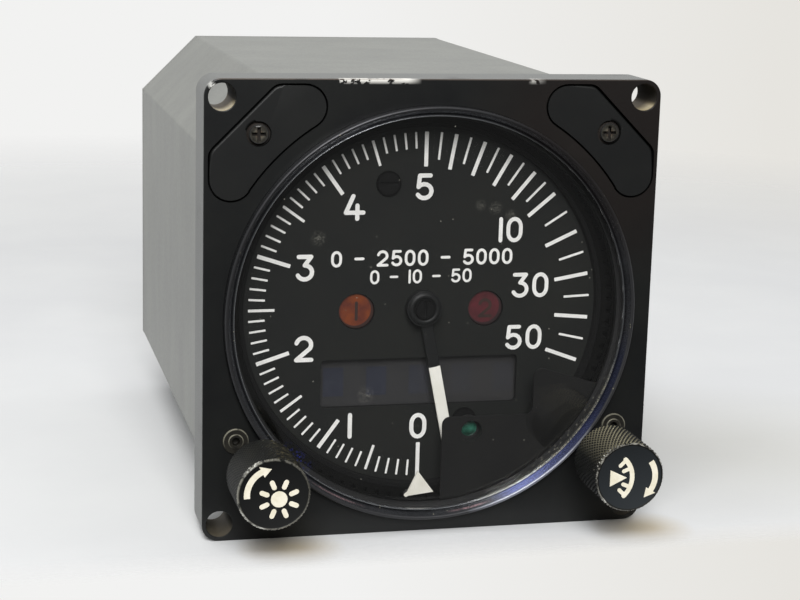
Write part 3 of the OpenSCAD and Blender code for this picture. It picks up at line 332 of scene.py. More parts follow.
# Painted shadow: a dark edge shows low on the right of each lamp's lens
for lamp_lens, x in ((lens_amber, -LAMP_X), (lens_red, LAMP_X)):
    lamp_lens.lay("#0e0b0a", lamp_lens.around(x - 0.25, None, -1.4, 3.05, 2.85), rough=0.6,
                  share=0.85)
lens_green = Finish("dyed_lens_green", "#1d5442", "#377360", drift=1.5, grain=0.15,
                    rough=(0.15, 0.3), relief=0.004)
# Painted shade: the green lens is laid darker low in its cup, and the cup's wall is laid black
# inside
lens_green.lay("#0d1f19", lens_green.past("Z", -23.4, -24.4), share=0.7)
lens_green.lay("#0a0b0a", lens_green.around(*LENS_AXIS, 1.56, 1.5), rough=0.7)
lens_mark = Finish("dark_lens_engraving", "#2a1a15", "#33211a", drift=2, grain=0.2,
                   rough=(0.5, 0.6))

# Blackened steel: dark brown-black, rubbed to grey in small patches
dark_screw = Finish("blackened_steel", "#1b1a19", "#2b2925", drift=0.8, grain=0.12,
                    rough=(0.35, 0.5), relief=0.006, metallic=0.6)
dark_screw.lay("#8d8676", dark_screw.blotches(0.6, 0.60, 0.72, 0.2), rough=0.35, share=0.6)
# Passivated steel under a film of dirt, so it has no metallic shine: the heads over the cover
# plates, darker outward as painted shade, dark brown in the recess, and a black groove of painted
# shade round each head
cover_steel = Finish("passivated_steel", "#1f1d19", "#504d44", drift=0.55, grain=0.12,
                     rough=(0.28, 0.42), relief=0.006)
cover_steel.lay("#4a3a28", cover_steel.around(*COVER_SCREW, 0.4, 0.9, folded=True), rough=0.6,
                share=0.7)
cover_steel.lay("#17150f", cover_steel.around(*COVER_SCREW, 1.2, 0.85, folded=True), share=0.65)
cover_steel.lay("#090908", cover_steel.around(*COVER_SCREW, 1.6, 1.45, folded=True), rough=0.8)
cover_steel.lay("#1d1712", cover_steel.past("Y", -10.0, -9.9), rough=0.9)
# Blackened brass: the clamp screws' collars, worn bright on their edges, laid only on their upper
# arcs as a painted highlight
clamp_finish = Finish("worn_black_brass", "#1d1c19", "#2e2c26", drift=1.2, grain=0.12,
                      rough=(0.35, 0.5), relief=0.006, metallic=0.4)
for outer, inner in ((3.0, 2.08), (1.36, 1.16)):
    clamp_finish.lay("#8a8778", clamp_finish.around(*CLAMP_SCREW, inner + 0.08, inner, folded=True),
                     clamp_finish.around(*CLAMP_SCREW, outer, outer + 0.03, folded=True),
                     clamp_finish.past("Z", -24.0, -22.0),
                     clamp_finish.blotches(1.5, 0.3, 0.45, 0.4), rough=0.4)
# Black lacquer on the screws of the dial and the pointer, with a near black ring of painted shade
# at the edge of each
dial_screw_black = Finish("lacquered_screw", "#0b0b0b", "#0f0f0f", drift=1.5, grain=0.12,
                          rough=(0.5, 0.6), relief=0.004, ior=1.22)
dial_screw_black.lay("#050505", dial_screw_black.around(*DIAL_AXIS, 2.2, 2.3),
                     dial_screw_black.around(*DIAL_AXIS, 1.6, 1.5), rough=0.9)
for x, z in DIAL_SCREWS:
    dial_screw_black.lay("#040404", dial_screw_black.around(x, None, z, 2.4, 2.5),
                         dial_screw_black.around(x, None, z, 2.0, 1.9), rough=0.9)

# Zinc-plated steel: silver with a faint yellow cast
zinc_steel = Finish("zinc_plated_steel", "#8d8c84", "#a6a498", drift=2, grain=0.2,
                    rough=(0.3, 0.45), relief=0.004, metallic=0.95)
# Ground steel shafting: fine rings round the bar
ground_steel = Finish("ground_steel", "#8f9092", "#a9aaab", drift=3, grain=0.15,
                      rough=(0.2, 0.32), relief=0.002, metallic=1.0, stretch=(4, 0.5, 4))
# Cut brass, slightly dulled
brass = Finish("cut_brass", "#a57f36", "#b98f45", drift=3, grain=0.15, rough=(0.25, 0.4),
               relief=0.003, metallic=1.0)
# Milled aluminium plate: pale grey with straight cutter lines
plate_aluminium = Finish("milled_aluminium", "#9fa1a3", "#b4b6b8", drift=6, grain=0.2,
                         rough=(0.32, 0.45), relief=0.003, metallic=0.95, stretch=(8, 8, 1))
# Lamp glass on a brass base: warm and glossy
bulb_glass = Finish("lamp_glass", "#c9bd98", "#ddd3b4", drift=2, grain=0.3, rough=(0.08, 0.16),
                    relief=0.001)
# Black anodised aluminium, knurled: dirt in the grooves, bare metal where the rim is rubbed
knob_black = Finish("knurled_black_anodise", "#090a09", "#10110e", drift=2.2, grain=0.1,
                    rough=(0.5, 0.65), relief=0.004, ior=1.32)
# Moulded phenolic, blue: satin
blue_housing = Finish("moulded_phenolic_blue", "#26375a", "#314468", drift=5, grain=0.3,
                      rough=(0.35, 0.5), relief=0.005)
# Nickel-plated can: bright and slightly warm
motor_can = Finish("nickel_plated_can", "#8b8a84", "#a09e96", drift=6, grain=0.3,
                   rough=(0.25, 0.38), relief=0.002, metallic=0.95)
# Epoxy board under green solder mask: glossy with a weave of about 0.5 mm
circuit_green = Finish("green_solder_mask", "#1d4a2b", "#2b6239", drift=4, grain=0.5,
                       rough=(0.25, 0.4), relief=0.01)
# Moulded epoxy chips: dull black
chip_black = Finish("moulded_epoxy", "#1b1b1d", "#27272a", drift=3, grain=0.15, rough=(0.5, 0.65),
                    relief=0.006)
# Varnished transformer core: brown, with laminations of about 0.35 mm
core_brown = Finish("varnished_core", "#443628", "#5e4c39", drift=5, grain=0.35, rough=(0.3, 0.5),
                    relief=0.02, stretch=(1, 12, 12))
# Ribbed vinyl cable: pale grey, with fine ribs along it
ribbon_grey = Finish("vinyl_ribbon", "#b2aca0", "#c8c2b5", drift=6, grain=0.6, rough=(0.45, 0.6),
                     relief=0.03, stretch=(0.5, 12, 12))
# Olive chromate on aluminium: dull green-grey with a slight sheen
connector_olive = Finish("olive_chromate", "#4b4d3c", "#5d5f4a", drift=3, grain=0.2,
                         rough=(0.4, 0.55), relief=0.005, metallic=0.6)
# Moulded silicone insert: brick red, dull
insert_red = Finish("moulded_silicone", "#5a2a20", "#6c3528", drift=2, grain=0.15,
                    rough=(0.5, 0.65), relief=0.006)
# Display cells behind the filter: faintly blue on the left, grey on the right
display_cell = Finish("led_digit_face", "#8f95ac", "#9aa0b5", drift=4, grain=0.3,
                      rough=(0.35, 0.5), relief=0.002)
display_cell.lay("#a3a3a5", display_cell.past("X", -4, 4), share=0.9)
display_stroke = Finish("led_segment", "#959bb1", "#a1a6ba", drift=2, grain=0.3, rough=(0.4, 0.5))
display_stroke.lay("#a7a7a9", display_stroke.past("X", -4, 4))
display_back = Finish("display_face", "#9c9c9b", "#a6a5a3", drift=7, grain=0.3, rough=(0.5, 0.6))
display_back.lay("#a5a3a0", display_back.past("X", 2, 12), share=0.7)


def clear_sheet(name, tint, ior, rough):
    """A thin clear sheet: light passes through it tinted, and it mirrors more at a glance"""
    sheet = Finish(name, tint, tint, rough=(rough, rough * 2), ior=ior)
    face_on = ((ior - 1) / (ior + 1)) ** 2
    facing = sheet.add("LayerWeight", 0.5, out="Facing")
    glance = sheet.add("Math", facing, 5.0, operation="POWER")
    share = sheet.add("Math", glance, 1 - face_on, face_on, operation="MULTIPLY_ADD")
    through = sheet.add("BsdfTransparent", linear(tint))
    mirror = sheet.add("BsdfGlossy", at={"Color": linear("#ffffff"), "Roughness": rough})
    pane = sheet.add("MixShader", share, through, mirror)
    sheet.tree.links.new(pane, sheet.output.inputs["Surface"])
    sheet.tree.nodes.remove(sheet.shader)
    return sheet


def haze(sheet, *masks, share, colour="#c9c6b8"):
    """Lays pale dust, or a stain of another colour, on a clear sheet where every mask is 1"""
    mask = share
    for other in masks:
        mask = sheet.add("Math", mask, other, operation="MULTIPLY")
    pane = sheet.output.inputs["Surface"].links[0].from_socket
    dust = sheet.add("BsdfDiffuse", linear(colour))
    sheet.tree.links.new(sheet.add("MixShader", mask, pane, dust), sheet.output.inputs["Surface"])


# Polished window glass: clear, mirrors about 4 % face on
window = clear_sheet("polished_window_glass", "#fefefe", 1.5, 0.01)
# Finger smudges, settled specks, and dust gathered low inside the rim, all on the front face
window_front = window.past("Y", -10.2, -10.3)
for x, z, reach in ((-21.1, 13.5, 1.6), (8.1, 19.0, 1.2), (10.9, 18.4, 1.4), (13.75, 17.1, 1.2),
                    (-12.0, -15.2, 1.8), (-17.6, -20.4, 1.0)):
    haze(window, window.around(x, None, z, 0, reach), window.blotches(0.22, 0.46, 0.66, x / 100),
         window_front, share=0.2)
haze(window, window.specks(1.9, 0.12, 0.35, 0.9), window_front, share=0.42)
haze(window, window.around(*DIAL_AXIS, 35.8, 33.8), window.around(22, None, -27, 12, 20),
     window.specks(0.5, 0.22, 0.25, 0.2), window_front, share=0.3)
# A blue stain low on the left, inside the rim
haze(window, window.around(*DIAL_AXIS, 34.4, 33.4), window.around(-24.2, None, -26.0, 1.0, 3.8),
     window.specks(0.4, 0.28, 0.5, 0.2), window_front, share=0.5, colour="#2c3170")
# Smoked acrylic over the number display: each face passes a little over half of the light
smoked_plastic = clear_sheet("smoked_acrylic", "#c8c8c9", 1.49, 0.12)

FINISHES = {
    "black_enamel": black_enamel, "case_enamel": case_enamel, "ring_anodise": ring_anodise,
    "window": window, "black_rubber": black_rubber, "dial_black": dial_black,
    "mask_black": mask_black, "marking_white": marking_white, "lens_green": lens_green,
    "lens_amber": lens_amber, "lens_red": lens_red, "smoked_plastic": smoked_plastic,
    "dark_screw": dark_screw, "zinc_steel": zinc_steel, "ground_steel": ground_steel,
    "brass": brass, "plate_aluminium": plate_aluminium, "bulb_glass": bulb_glass,
    "knob_black": knob_black, "blue_housing": blue_housing, "motor_can": motor_can,
    "circuit_green": circuit_green, "chip_black": chip_black, "core_brown": core_brown,
    "ribbon_grey": ribbon_grey, "connector_olive": connector_olive, "insert_red": insert_red,
}

SLOT_OF = {row["node"]: row["material_slot"] for row in frame["record"]["subparts"]}
for node_name, node in frame["nodes"].items():
    for material_slot in node.material_slots:
        material_slot.material = FINISHES[SLOT_OF[node_name]].material


# Shaping tools

def finished(name, bm, finish, body="root", slot=None, nodes=(), crease=32):
    """Makes a piece of a bmesh drawn in mm, at the origin, and gives it to a body of the frame"""
    bmesh.ops.scale(bm, vec=(MM, MM, MM), verts=bm.verts)
    mesh = bpy.data.meshes.new(name)
    bm.to_mesh(mesh)
    bm.free()
    mesh.materials.append(finish.material)
    mesh.polygons.foreach_set("use_smooth", [True] * len(mesh.polygons))
    mesh.set_sharp_from_angle(angle=math.radians(crease))
    obj = bpy.data.objects.new(name, mesh)
    bpy.context.scene.collection.objects.link(obj)
    flat = obj.modifiers.new("flat_faces", "WEIGHTED_NORMAL")
    flat.keep_sharp = True
    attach(obj, body)
    if nodes:
        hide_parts(*nodes)


def lathed(bm, profile, centre, steps=128):
    """Turns a closed profile of (radius, y) points about the axis through centre = (x, z)"""
    cx, cz = centre
    verts = [bm.verts.new((cx + r, y, cz)) for r, y in profile]
    edges = [bm.edges.new((verts[i - 1], verts[i])) for i in range(len(verts))]
    bmesh.ops.spin(bm, geom=verts + edges, cent=(cx, 0, cz), axis=(0, 1, 0), angle=TURN,
                   steps=steps, use_merge=True)
    bmesh.ops.remove_doubles(bm, verts=bm.verts, dist=1e-5)
    bmesh.ops.recalc_face_normals(bm, faces=bm.faces)


def cad_copy(node):
    """A copy of a CAD node's mesh in mm, with its flat faces joined up"""
    bm = bmesh.new()
    bm.from_mesh(frame["nodes"][node].data)
    bmesh.ops.scale(bm, vec=(1 / MM,) * 3, verts=bm.verts)
    bmesh.ops.remove_doubles(bm, verts=bm.verts, dist=1e-4)
    bmesh.ops.dissolve_limit(bm, angle_limit=math.radians(0.5), verts=bm.verts, edges=bm.edges)
    return bm


def eased(node, width, slot=None, body="root", segments=2, only=None, finish=None, sharp=35,
          clamp=True, after=None):
    """Replaces a CAD node by its own shape with the sharp edges rounded, those that only picks.
    clamp narrows the rounding where edges crowd; without it, they must have the room. after
    shapes it further."""
    bm = cad_copy(node)
    edges = [e for e in bm.edges if len(e.link_faces) == 2
             and e.calc_face_angle(0) > math.radians(sharp) and (only is None or only(e))]
    bmesh.ops.bevel(bm, geom=edges, offset=width, offset_type="OFFSET", segments=segments,
                    profile=0.5, affect="EDGES", clamp_overlap=clamp, material=-1)
    if after:
        after(bm)
    finished("soft_" + node, bm, finish or FINISHES[SLOT_OF[node]], body,
             slot or SLOT_OF[node], (node,))


def arc(cx, cz, rx, rz, start, end, steps=12):
    """Points of an arc from angle start to end, in degrees, counted from the right"""
    turns = [math.radians(start + (end - start) * i / steps) for i in range(steps + 1)]
    return [(cx + rx * math.cos(t), cz + rz * math.sin(t)) for t in turns]


def pen_outlines(path, width, closed=False, square=False):
    """The outline of a pen stroke along a smooth path; a closed path gives two outlines"""
    points = [Vector(p) for p in path]
    n = len(points)
    sides = ([], [])
    for i, p in enumerate(points):
        before = points[i - 1] if i or closed else None
        after = points[(i + 1) % n] if i < n - 1 or closed else None
        ways = [(b - a).normalized() for a, b in ((before, p), (p, after))
                if a is not None and b is not None]
        way = sum(ways, Vector((0, 0))).normalized()
        across = Vector((-way.y, way.x)) * width / 2 / max(0.5, way.dot(ways[0]))
        sides[0].append(p + across)
        sides[1].append(p - across)
    if closed:
        return sides
    ends = ([], [])
    if not square:
        for end, p, edge in ((ends[0], points[-1], sides[0][-1]),
                             (ends[1], points[0], sides[1][0])):
            end += [p + Matrix.Rotation(-math.pi * k / 6, 2) @ (edge - p) for k in range(1, 6)]
    return (sides[0] + ends[0] + sides[1][::-1] + ends[1],)


def smooth_runs(path, bend=40):
    """Splits a path at its sharp corners"""
    points = [Vector(p) for p in path]
    runs = [[points[0]]]
    for before, here, after in zip(points, points[1:], points[2:]):
        runs[-1].append(here)
        if (here - before).angle(after - here) > math.radians(bend):
            runs.append([here])
    runs[-1].append(points[-1])
    return runs


INK = 0.03  # how thick ink lies, in mm


def plate(bm, outlines, y, thick=INK):
    """A thin solid on the plane y, inside one outline in (x, z) or between two"""
    rings = []
    for outline in outlines:
        verts = [bm.verts.new((p[0], y, p[1])) for p in outline]
        rings.append([bm.edges.new((verts[i - 1], verts[i])) for i in range(len(verts))])
    if len(rings) == 2:
        faces = bmesh.ops.bridge_loops(bm, edges=rings[0] + rings[1])["faces"]
    else:
        faces = bmesh.ops.contextual_create(bm, geom=rings[0])["faces"]
    raised = bmesh.ops.extrude_face_region(bm, geom=faces)["geom"]
    raised_verts = [v for v in raised if isinstance(v, bmesh.types.BMVert)]
    bmesh.ops.translate(bm, vec=(0, -thick, 0), verts=raised_verts)
    bmesh.ops.recalc_face_normals(bm, faces=bm.faces)


def ink(bm, path, width, y, thick=INK, closed=False, square=False):
    """A stroke of ink on the plane y. Runs that meet at a corner differ in thickness, so that no
    two faces lie in one plane."""
    if closed:
        plate(bm, pen_outlines(path, width, True), y, thick)
    else:
        for i, run in enumerate(smooth_runs(path)):
            plate(bm, pen_outlines(run, width, square=square), y, thick + 0.006 * i)


# Each figure in a box one unit high: its width, then its strokes and whether each is closed
FIGURES = {
    "0": (0.60, [(arc(0.30, 0.62, 0.30, 0.38, 0, 180, 10)
                  + arc(0.30, 0.38, 0.30, 0.38, 180, 360, 10), True)]),
    "1": (0.0, [([(0, 0), (0, 1)], False)]),
    "2": (0.66, [(arc(0.33, 0.68, 0.33, 0.32, 165, -30, 10) + [(0, 0), (0.68, 0)], False)]),
    "3": (0.66, [([(0.06, 1), (0.61, 1), (0.33, 0.62)]
                  + arc(0.33, 0.31, 0.33, 0.31, 85, -155), False)]),
    "4": (0.80, [([(0.34, 1), (0.02, 0.27), (0.80, 0.27)], False),
                 ([(0.53, 0.58), (0.53, 0)], False)]),
    "5": (0.66, [([(0.60, 1), (0.12, 1), (0.07, 0.50)]
                  + arc(0.33, 0.31, 0.33, 0.31, 143, -150), False)]),
    "-": (0.55, [([(0, 0.5), (0.55, 0.5)], False)]),
    " ": (0.35, []),
}


def figures(bm, text, centre, height, width, y, gap=0.34):
    """Writes figures centred on a point; height is over all, width is the pen's"""
    tall = height - width
    total = sum(FIGURES[c][0] for c in text) + gap * (len(text) - 1)
    x = centre[0] - total * tall / 2
    for c in text:
        wide, strokes = FIGURES[c]
        for i, (path, closed) in enumerate(strokes):
            moved = [(x + px * tall, centre[1] + (pz - 0.5) * tall) for px, pz in path]
            ink(bm, moved, width, y, INK + 0.012 * i, closed)
        x += (wide + gap) * tall


# The flange and what it holds

DIAL = (DIAL_AXIS[0], DIAL_AXIS[2])


def folded_distance(vert, axis):
    """How far a vertex lies from an axis or the nearest of its mirrored twins"""
    return math.hypot(abs(vert.co.x) - axis[0], abs(vert.co.z) - axis[2])


def on_flange_rim(edge):
    """True for the flange's front outer edges and the mouths of the panel holes"""
    if max(v.co.y for v in edge.verts) > FLANGE_FRONT + 0.05:
        return False
    first = edge.verts[0].co
    on_side = max(abs(first.x), abs(first.z)) > FLANGE_HALF - 0.05
    on_corner = min(math.hypot(v.co.x, v.co.z) for v in edge.verts) > 56
    on_hole = min(folded_distance(v, PANEL_HOLE) for v in edge.verts) < 2.6
    return on_side or on_corner or on_hole


def on_cover_rim(edge):
    """True for the front edges of a cover plate, but not where it follows the ring"""
    beyond_screw = COVER_SCREW[0] + COVER_SCREW[2] + 2.5
    return (max(v.co.y for v in edge.verts) < FLANGE_FRONT + 0.05
            and min(abs(v.co.x) + abs(v.co.z) for v in edge.verts) > beyond_screw)


def on_screw_rim(edge):
    """True for the front outer edges of the cover plates' screws"""
    return (max(v.co.y for v in edge.verts) < -10.1
            and min(folded_distance(v, COVER_SCREW) for v in edge.verts) > 2.0)


def sink_screw_rims(bm):
    """Lowers the rims of the cover plates' screws, so that a dark groove runs round each head"""
    head_r, head_back, groove_floor = 1.7, -9.5, -9.2
    for v in bm.verts:
        if folded_distance(v, COVER_SCREW) > head_r and v.co.y < head_back:
            v.co.y = groove_floor


eased("bezel", 0.2, only=on_flange_rim, clamp=False)
for node_name in ("cover_left", "cover_right"):
    eased(node_name, 0.45, segments=4, only=on_cover_rim, clamp=False, finish=cover_enamel)
eased("cover_screws", 0.45, segments=3, only=on_screw_rim, finish=cover_steel, sharp=30,
      after=sink_screw_rims)
eased("bushing_screws", 0.14, finish=clamp_finish)
eased("knob_bushings", 0.15)
eased("dial_screws", 0.12, finish=dial_screw_black)

# The bezel ring: a beaded lip, a sloped face with turned grooves, a round crest and an outer bevel
SLOPE_IN, SLOPE_OUT = (36.38, -10.78), (36.96, -11.74)
GROOVES = 5
slope = []
for i in range(GROOVES):
    for step, sunk in ((0.15, 0.0), (0.5, 0.03), (0.85, 0.0)):
        t = (i + step) / GROOVES
        slope.append((SLOPE_IN[0] + (SLOPE_OUT[0] - SLOPE_IN[0]) * t + sunk * 0.8,
                      SLOPE_IN[1] + (SLOPE_OUT[1] - SLOPE_IN[1]) * t + sunk * 0.6))
bezel_ring = bmesh.new()
lathed(bezel_ring, [
    (36.7, -9.2), (36.7, -10.4), (35.85, -10.42), (35.85, -10.86), (35.88, -10.97), (35.95, -11.02),
    (36.03, -11.0), (36.33, -10.74), SLOPE_IN] + slope + [
    SLOPE_OUT, (37.0, -11.83), (37.1, -11.94), (37.25, -12), (37.4, -12), (37.53, -11.93),
    (37.63, -11.82), (37.7, -11.66), (37.7, -9.2)], DIAL, 256)
finished("turned_ring", bezel_ring, ring_anodise, slot="ring_anodise", nodes=("bezel_ring",),
         crease=25)

# The window: a flat disc, bedded all round in black sealant. Its back stops short of the mask, so
# that no two faces lie in one plane
PANE_FRONT, PANE_BACK = -10.4, -8.24
pane = bmesh.new()
lathed(pane, [(0, PANE_FRONT), (36.2, PANE_FRONT), (36.2, PANE_BACK), (0, PANE_BACK)], DIAL, 192)
finished("window_pane", pane, window, slot="window", nodes=("window_glass",))
# Painted shade: a matt black sleeve just inside the bore's wall keeps the bore behind the window
# dark
shade_sleeve = bmesh.new()
lathed(shade_sleeve, [(35.18, -7.75), (35.28, -7.75), (35.28, -6.55), (36.15, -6.55), (36.15, -4.15),
               (36.05, -4.15), (36.05, -6.45), (35.18, -6.45)], DIAL)
finished("bore_shade_sleeve", shade_sleeve, gear_black_and_shade)
seal = bmesh.new()
lathed(seal, [(36.22, -10.38), (36.6, -10.38), (36.6, -8.2), (36.22, -8.2)], DIAL, 192)
finished("window_seal", seal, black_rubber)

eased("window_mask", 0.06)
# The green lens is domed at the bottom of its cup, with two moulded rings
cup = bmesh.new()
lathed(cup, [(0, -6.35), (0.6, -6.31), (1.1, -6.18), (1.35, -6.05), (1.5, -6.1), (1.62, -6.0),
             (1.95, -6.0), (1.95, -7.8), (2.35, -7.8), (2.35, -5.4), (0, -5.4)],
       (LENS_AXIS[0], LENS_AXIS[2]), 64)
finished("lens_cup", cup, lens_green, slot="lens_green", nodes=("mask_lens",))


# The dial

DIAL_FACE = -2.3
SCALE_RIM = 32.1


def dial_mark(bm, turn, length, width):
    """A square-ended mark that ends at the scale's rim, turned clockwise from straight down by so
    many degrees"""
    t = math.radians(turn)
    r = SCALE_RIM - length / 2
    x, z = DIAL[0] - math.sin(t) * r, DIAL[1] - math.cos(t) * r
    place = Matrix.Translation((x, DIAL_FACE - INK / 2, z)) @ Matrix.Rotation(t, 4, "Y")
    size = Matrix.Diagonal((width, INK, length, 1))
    cube = bmesh.ops.create_cube(bm, size=1, matrix=place @ size)
    upright = {e for v in cube["verts"] for e in v.link_edges
               if abs(e.verts[0].co.y - e.verts[1].co.y) > 0.01}
    bmesh.ops.bevel(bm, geom=list(upright), offset=0.08, offset_type="OFFSET", segments=2,
                    profile=0.5, affect="EDGES", material=-1)


# The scale: 0 to 5 in tenths over 180 degrees, to 10 in halves over 50, to 50 in fives over 60
marks = bmesh.new()
for tenth in range(51):
    long, wide = (6.3, 0.72) if tenth % 10 == 0 else (4.8, 0.5) if tenth % 5 == 0 else (3.0, 0.38)
    dial_mark(marks, 3.6 * tenth, long, wide)
for half in range(11, 21):
    dial_mark(marks, 180 + 5 * (half - 10), *((6.5, 0.68) if half % 2 == 0 else (5.0, 0.42)))
for five in range(3, 11):
    dial_mark(marks, 230 + 7.5 * (five - 2), *((6.5, 0.68) if five % 2 == 0 else (4.9, 0.42)))
finished("scale_marks", marks, marking_white, slot="marking_white")

numbers = bmesh.new()
for text, x, z in (("0", -0.1, -23.6), ("1", -13.0, -23.1), ("2", -21.85, -8.3), ("3", -21.9, 6.6),
                   ("4", -13.0, 17.5), ("5", -0.2, 21.1)):
    figures(numbers, text, (x, z), 4.9, 0.78, DIAL_FACE)
for text, x, z in (("10", 16.4, 13.0), ("30", 20.5, 2.55), ("50", 19.6, -7.3)):
    figures(numbers, text, (x, z), 4.7, 0.72, DIAL_FACE, 0.36)
figures(numbers, "0 - 2500 - 5000", (-0.1, 8.1), 3.0, 0.5, DIAL_FACE, 0.38)
figures(numbers, "0 - 10 - 50", (-0.3, 4.65), 2.6, 0.42, DIAL_FACE, 0.36)
finished("scale_numbers", numbers, marking_white, slot="marking_white")

lamp_marks = bmesh.new()
for text, x in (("1", -LAMP_X), ("2", LAMP_X)):
    figures(lamp_marks, text, (x, -1.65), 3.6, 0.55, -1.8, 0.3)
finished("lamp_numbers", lamp_marks, lens_mark)
for node_name in ("lamp_amber", "lamp_red"):
    eased(node_name, 0.25)

# The number display, unlit: its face fills the opening, with faint cells of seven strokes
display_face = bmesh.new()
bmesh.ops.create_cube(display_face, size=1, matrix=Matrix.Translation((0, -0.42, -15.05))
                      @ Matrix.Diagonal((38.6, 0.02, 10.4, 1)))
finished("display_face", display_face, display_back)
cells = bmesh.new()
segments = bmesh.new()
for x in (-15.9, -7.8, 0.3, 8.4, 16.5):
    place = Matrix.Translation((x, -0.44, -15.2)) @ Matrix.Diagonal((3.8, 0.02, 5.4, 1))
    bmesh.ops.create_cube(cells, size=1, matrix=place)
    for path in ([(-0.9, 2.1), (0.9, 2.1)], [(-0.9, 0), (0.9, 0)], [(-0.9, -2.1), (0.9, -2.1)],
                 [(-1.3, 1.9), (-1.3, 0.2)], [(1.3, 1.9), (1.3, 0.2)],
                 [(-1.3, -0.2), (-1.3, -1.9)], [(1.3, -0.2), (1.3, -1.9)]):
        ink(segments, [(x + px, pz - 15.2) for px, pz in path], 0.42, -0.45, 0.02)
finished("display_cells", cells, display_cell)
finished("display_segments", segments, display_stroke)

# The pointer and the limit bug

eased("pointer", 0.12, body="pointer", finish=pointer_lacquer, slot="marking_white")
eased("pointer_screw", 0.12, body="pointer", finish=dial_screw_black)
# The hub's rounded collar
collar = bmesh.new()
lathed(collar, [(1.95, -4.5), (1.95, -4.68), (2.1, -4.86), (2.35, -4.95), (2.6, -4.93),
                (2.85, -4.8), (3.05, -4.6), (3.05, -4.5)], DIAL, 64)
finished("hub_collar", collar, pointer_lacquer, "pointer")
eased("bug", 0.06, body="bug", finish=bug_enamel)
eased("bug_ring", 0.05, body="bug", finish=gear_black_and_shade)
# A drop of paint has run to the bug's lower left corner
drop = bmesh.new()
ink(drop, [(-2.86, -35.75), (-2.62, -35.6)], 0.8, -5.7, 0.06)
finished("bug_drop", drop, bug_enamel, "bug")


# The knobs

KNOB_X, KNOB_Z = KNOB[0], -KNOB[2]
KNOB_BACK, KNOB_FACE = -17.1, -29.3
SUNK_FACE = KNOB_FACE + 0.07


def triangle_wave(value):
    """1 on whole numbers, 0 half way between"""
    return abs((value % 1) - 0.5) * 2


def knurled_knob(name, x, node, body, starts, pitch, depth):
    """A knob with crossed V grooves cut round its side, a bevelled rim and a sunk face.
    starts is the number of grooves round it, pitch the mm between grooves along it."""
    outer, back_rim, front_rim, sill = 6.35, 6.0, 6.08, 5.9
    bore, bore_end = 2.03, -20.6
    first_row, length = KNOB_BACK - 0.4, KNOB_BACK - KNOB_FACE - 0.7
    rows = round(length / pitch * 6)
    side = [(outer, first_row - length * i / rows) for i in range(rows + 1)]
    bm = bmesh.new()
    lathed(bm, [(bore, KNOB_BACK), (back_rim, KNOB_BACK)] + side + [
        (front_rim, KNOB_FACE), (sill, KNOB_FACE), (sill - 0.06, SUNK_FACE), (0, SUNK_FACE),
        (0, bore_end), (bore, bore_end)], (x, KNOB_Z), starts * 6)
    for v in bm.verts:
        dx, dz = v.co.x - x, v.co.z - KNOB_Z
        r = math.hypot(dx, dz)
        if r > outer - 0.01:
            around = math.atan2(dz, dx) / TURN * starts
            along = (v.co.y - KNOB_BACK) / pitch
            crest = min(1, 1.5 * min(triangle_wave(around + along), triangle_wave(around - along)))
            scale = 1 - depth * (1 - crest) / r
            v.co.x, v.co.z = x + dx * scale, KNOB_Z + dz * scale
    finished(name, bm, knob_black, body, "knob_black", (node,), 50)


knurled_knob("dimmer_knob", -KNOB_X, "brt_knob", "brt_knob", 60, 1.15, 0.14)
knurled_knob("limit_knob", KNOB_X, "set_knob", "set_knob", 54, 1.28, 0.24)


def knob_rim(x, turn, full, end):
    """A place on a knob's front rim, turned so many degrees from the right"""
    t, r = math.radians(turn), 6.1
    return knob_black.around(x + r * math.cos(t), None, KNOB_Z + r * math.sin(t), full, end)


def beyond(radius):
    """1 farther than a radius from either knob's axis"""
    return knob_black.around(*KNOB, radius + 0.04, radius, folded=True)


on_limit = knob_black.past("X", -1, 1)
on_dimmer = knob_black.past("X", 1, -1)
on_side = knob_black.past("Y", -28.95, -28.85)
on_rim = knob_black.past("Y", -28.85, -28.95)
on_face = knob_black.past("Y", -29.20, -29.22)
# Pale grime fills the grooves of the right-hand knob, and a little of the left-hand one's
groove = knob_black.around(*KNOB, 6.17, 6.23, folded=True)
knob_black.lay("#979178", groove, on_side, on_limit, knob_black.around(34, None, -20, 3, 9.5),
               rough=0.8)
groove = knob_black.around(*KNOB, 6.21, 6.24, folded=True)
knob_black.lay("#54503e", groove, on_side, on_dimmer, knob_black.blotches(3, 0.45, 0.6, 0.1),
               rough=0.8, share=0.5)
knob_black.lay("#6d6548", on_side, on_dimmer, knob_black.around(-29, None, -20.8, 0.5, 3.5),
               knob_black.blotches(0.7, 0.5, 0.7, 0.3), rough=0.8, share=0.6)
knob_black.lay("#9b9989", on_side, knob_black.specks(1.6, 0.2, 0.22), rough=0.7, share=0.8)
# The front rims are rubbed to bare metal in a thin broken line, and chipped in places
knob_black.lay("#8e8c82", beyond(5.92), on_rim, on_dimmer, knob_black.blotches(1.0, 0.38, 0.52),
               rough=0.34, metallic=0.9)
knob_black.lay("#84827a", beyond(6.02), on_rim, on_limit, knob_black.blotches(1.0, 0.44, 0.56),
               rough=0.4)
knob_black.lay("#c9c8bf", beyond(6.27), knob_black.past("Y", -28.0, -28.5),
               knob_rim(KNOB_X, 140, 1.5, 3.2), knob_black.blotches(0.8, 0.45, 0.55, 0.6),
               rough=0.4)
near_face = knob_black.past("Y", -28.3, -28.8)
for x, turn, full, end in ((KNOB_X, 228, 0.9, 1.6), (-KNOB_X, 215, 0.7, 1.5),
                           (-KNOB_X, 245, 0.6, 1.6), (-KNOB_X, 128, 0.8, 2.2)):
    knob_black.lay("#d2d1c9", beyond(5.95), knob_rim(x, turn, full, end), near_face,
                   knob_black.blotches(0.9, 0.4, 0.5, 0.6), rough=0.4)
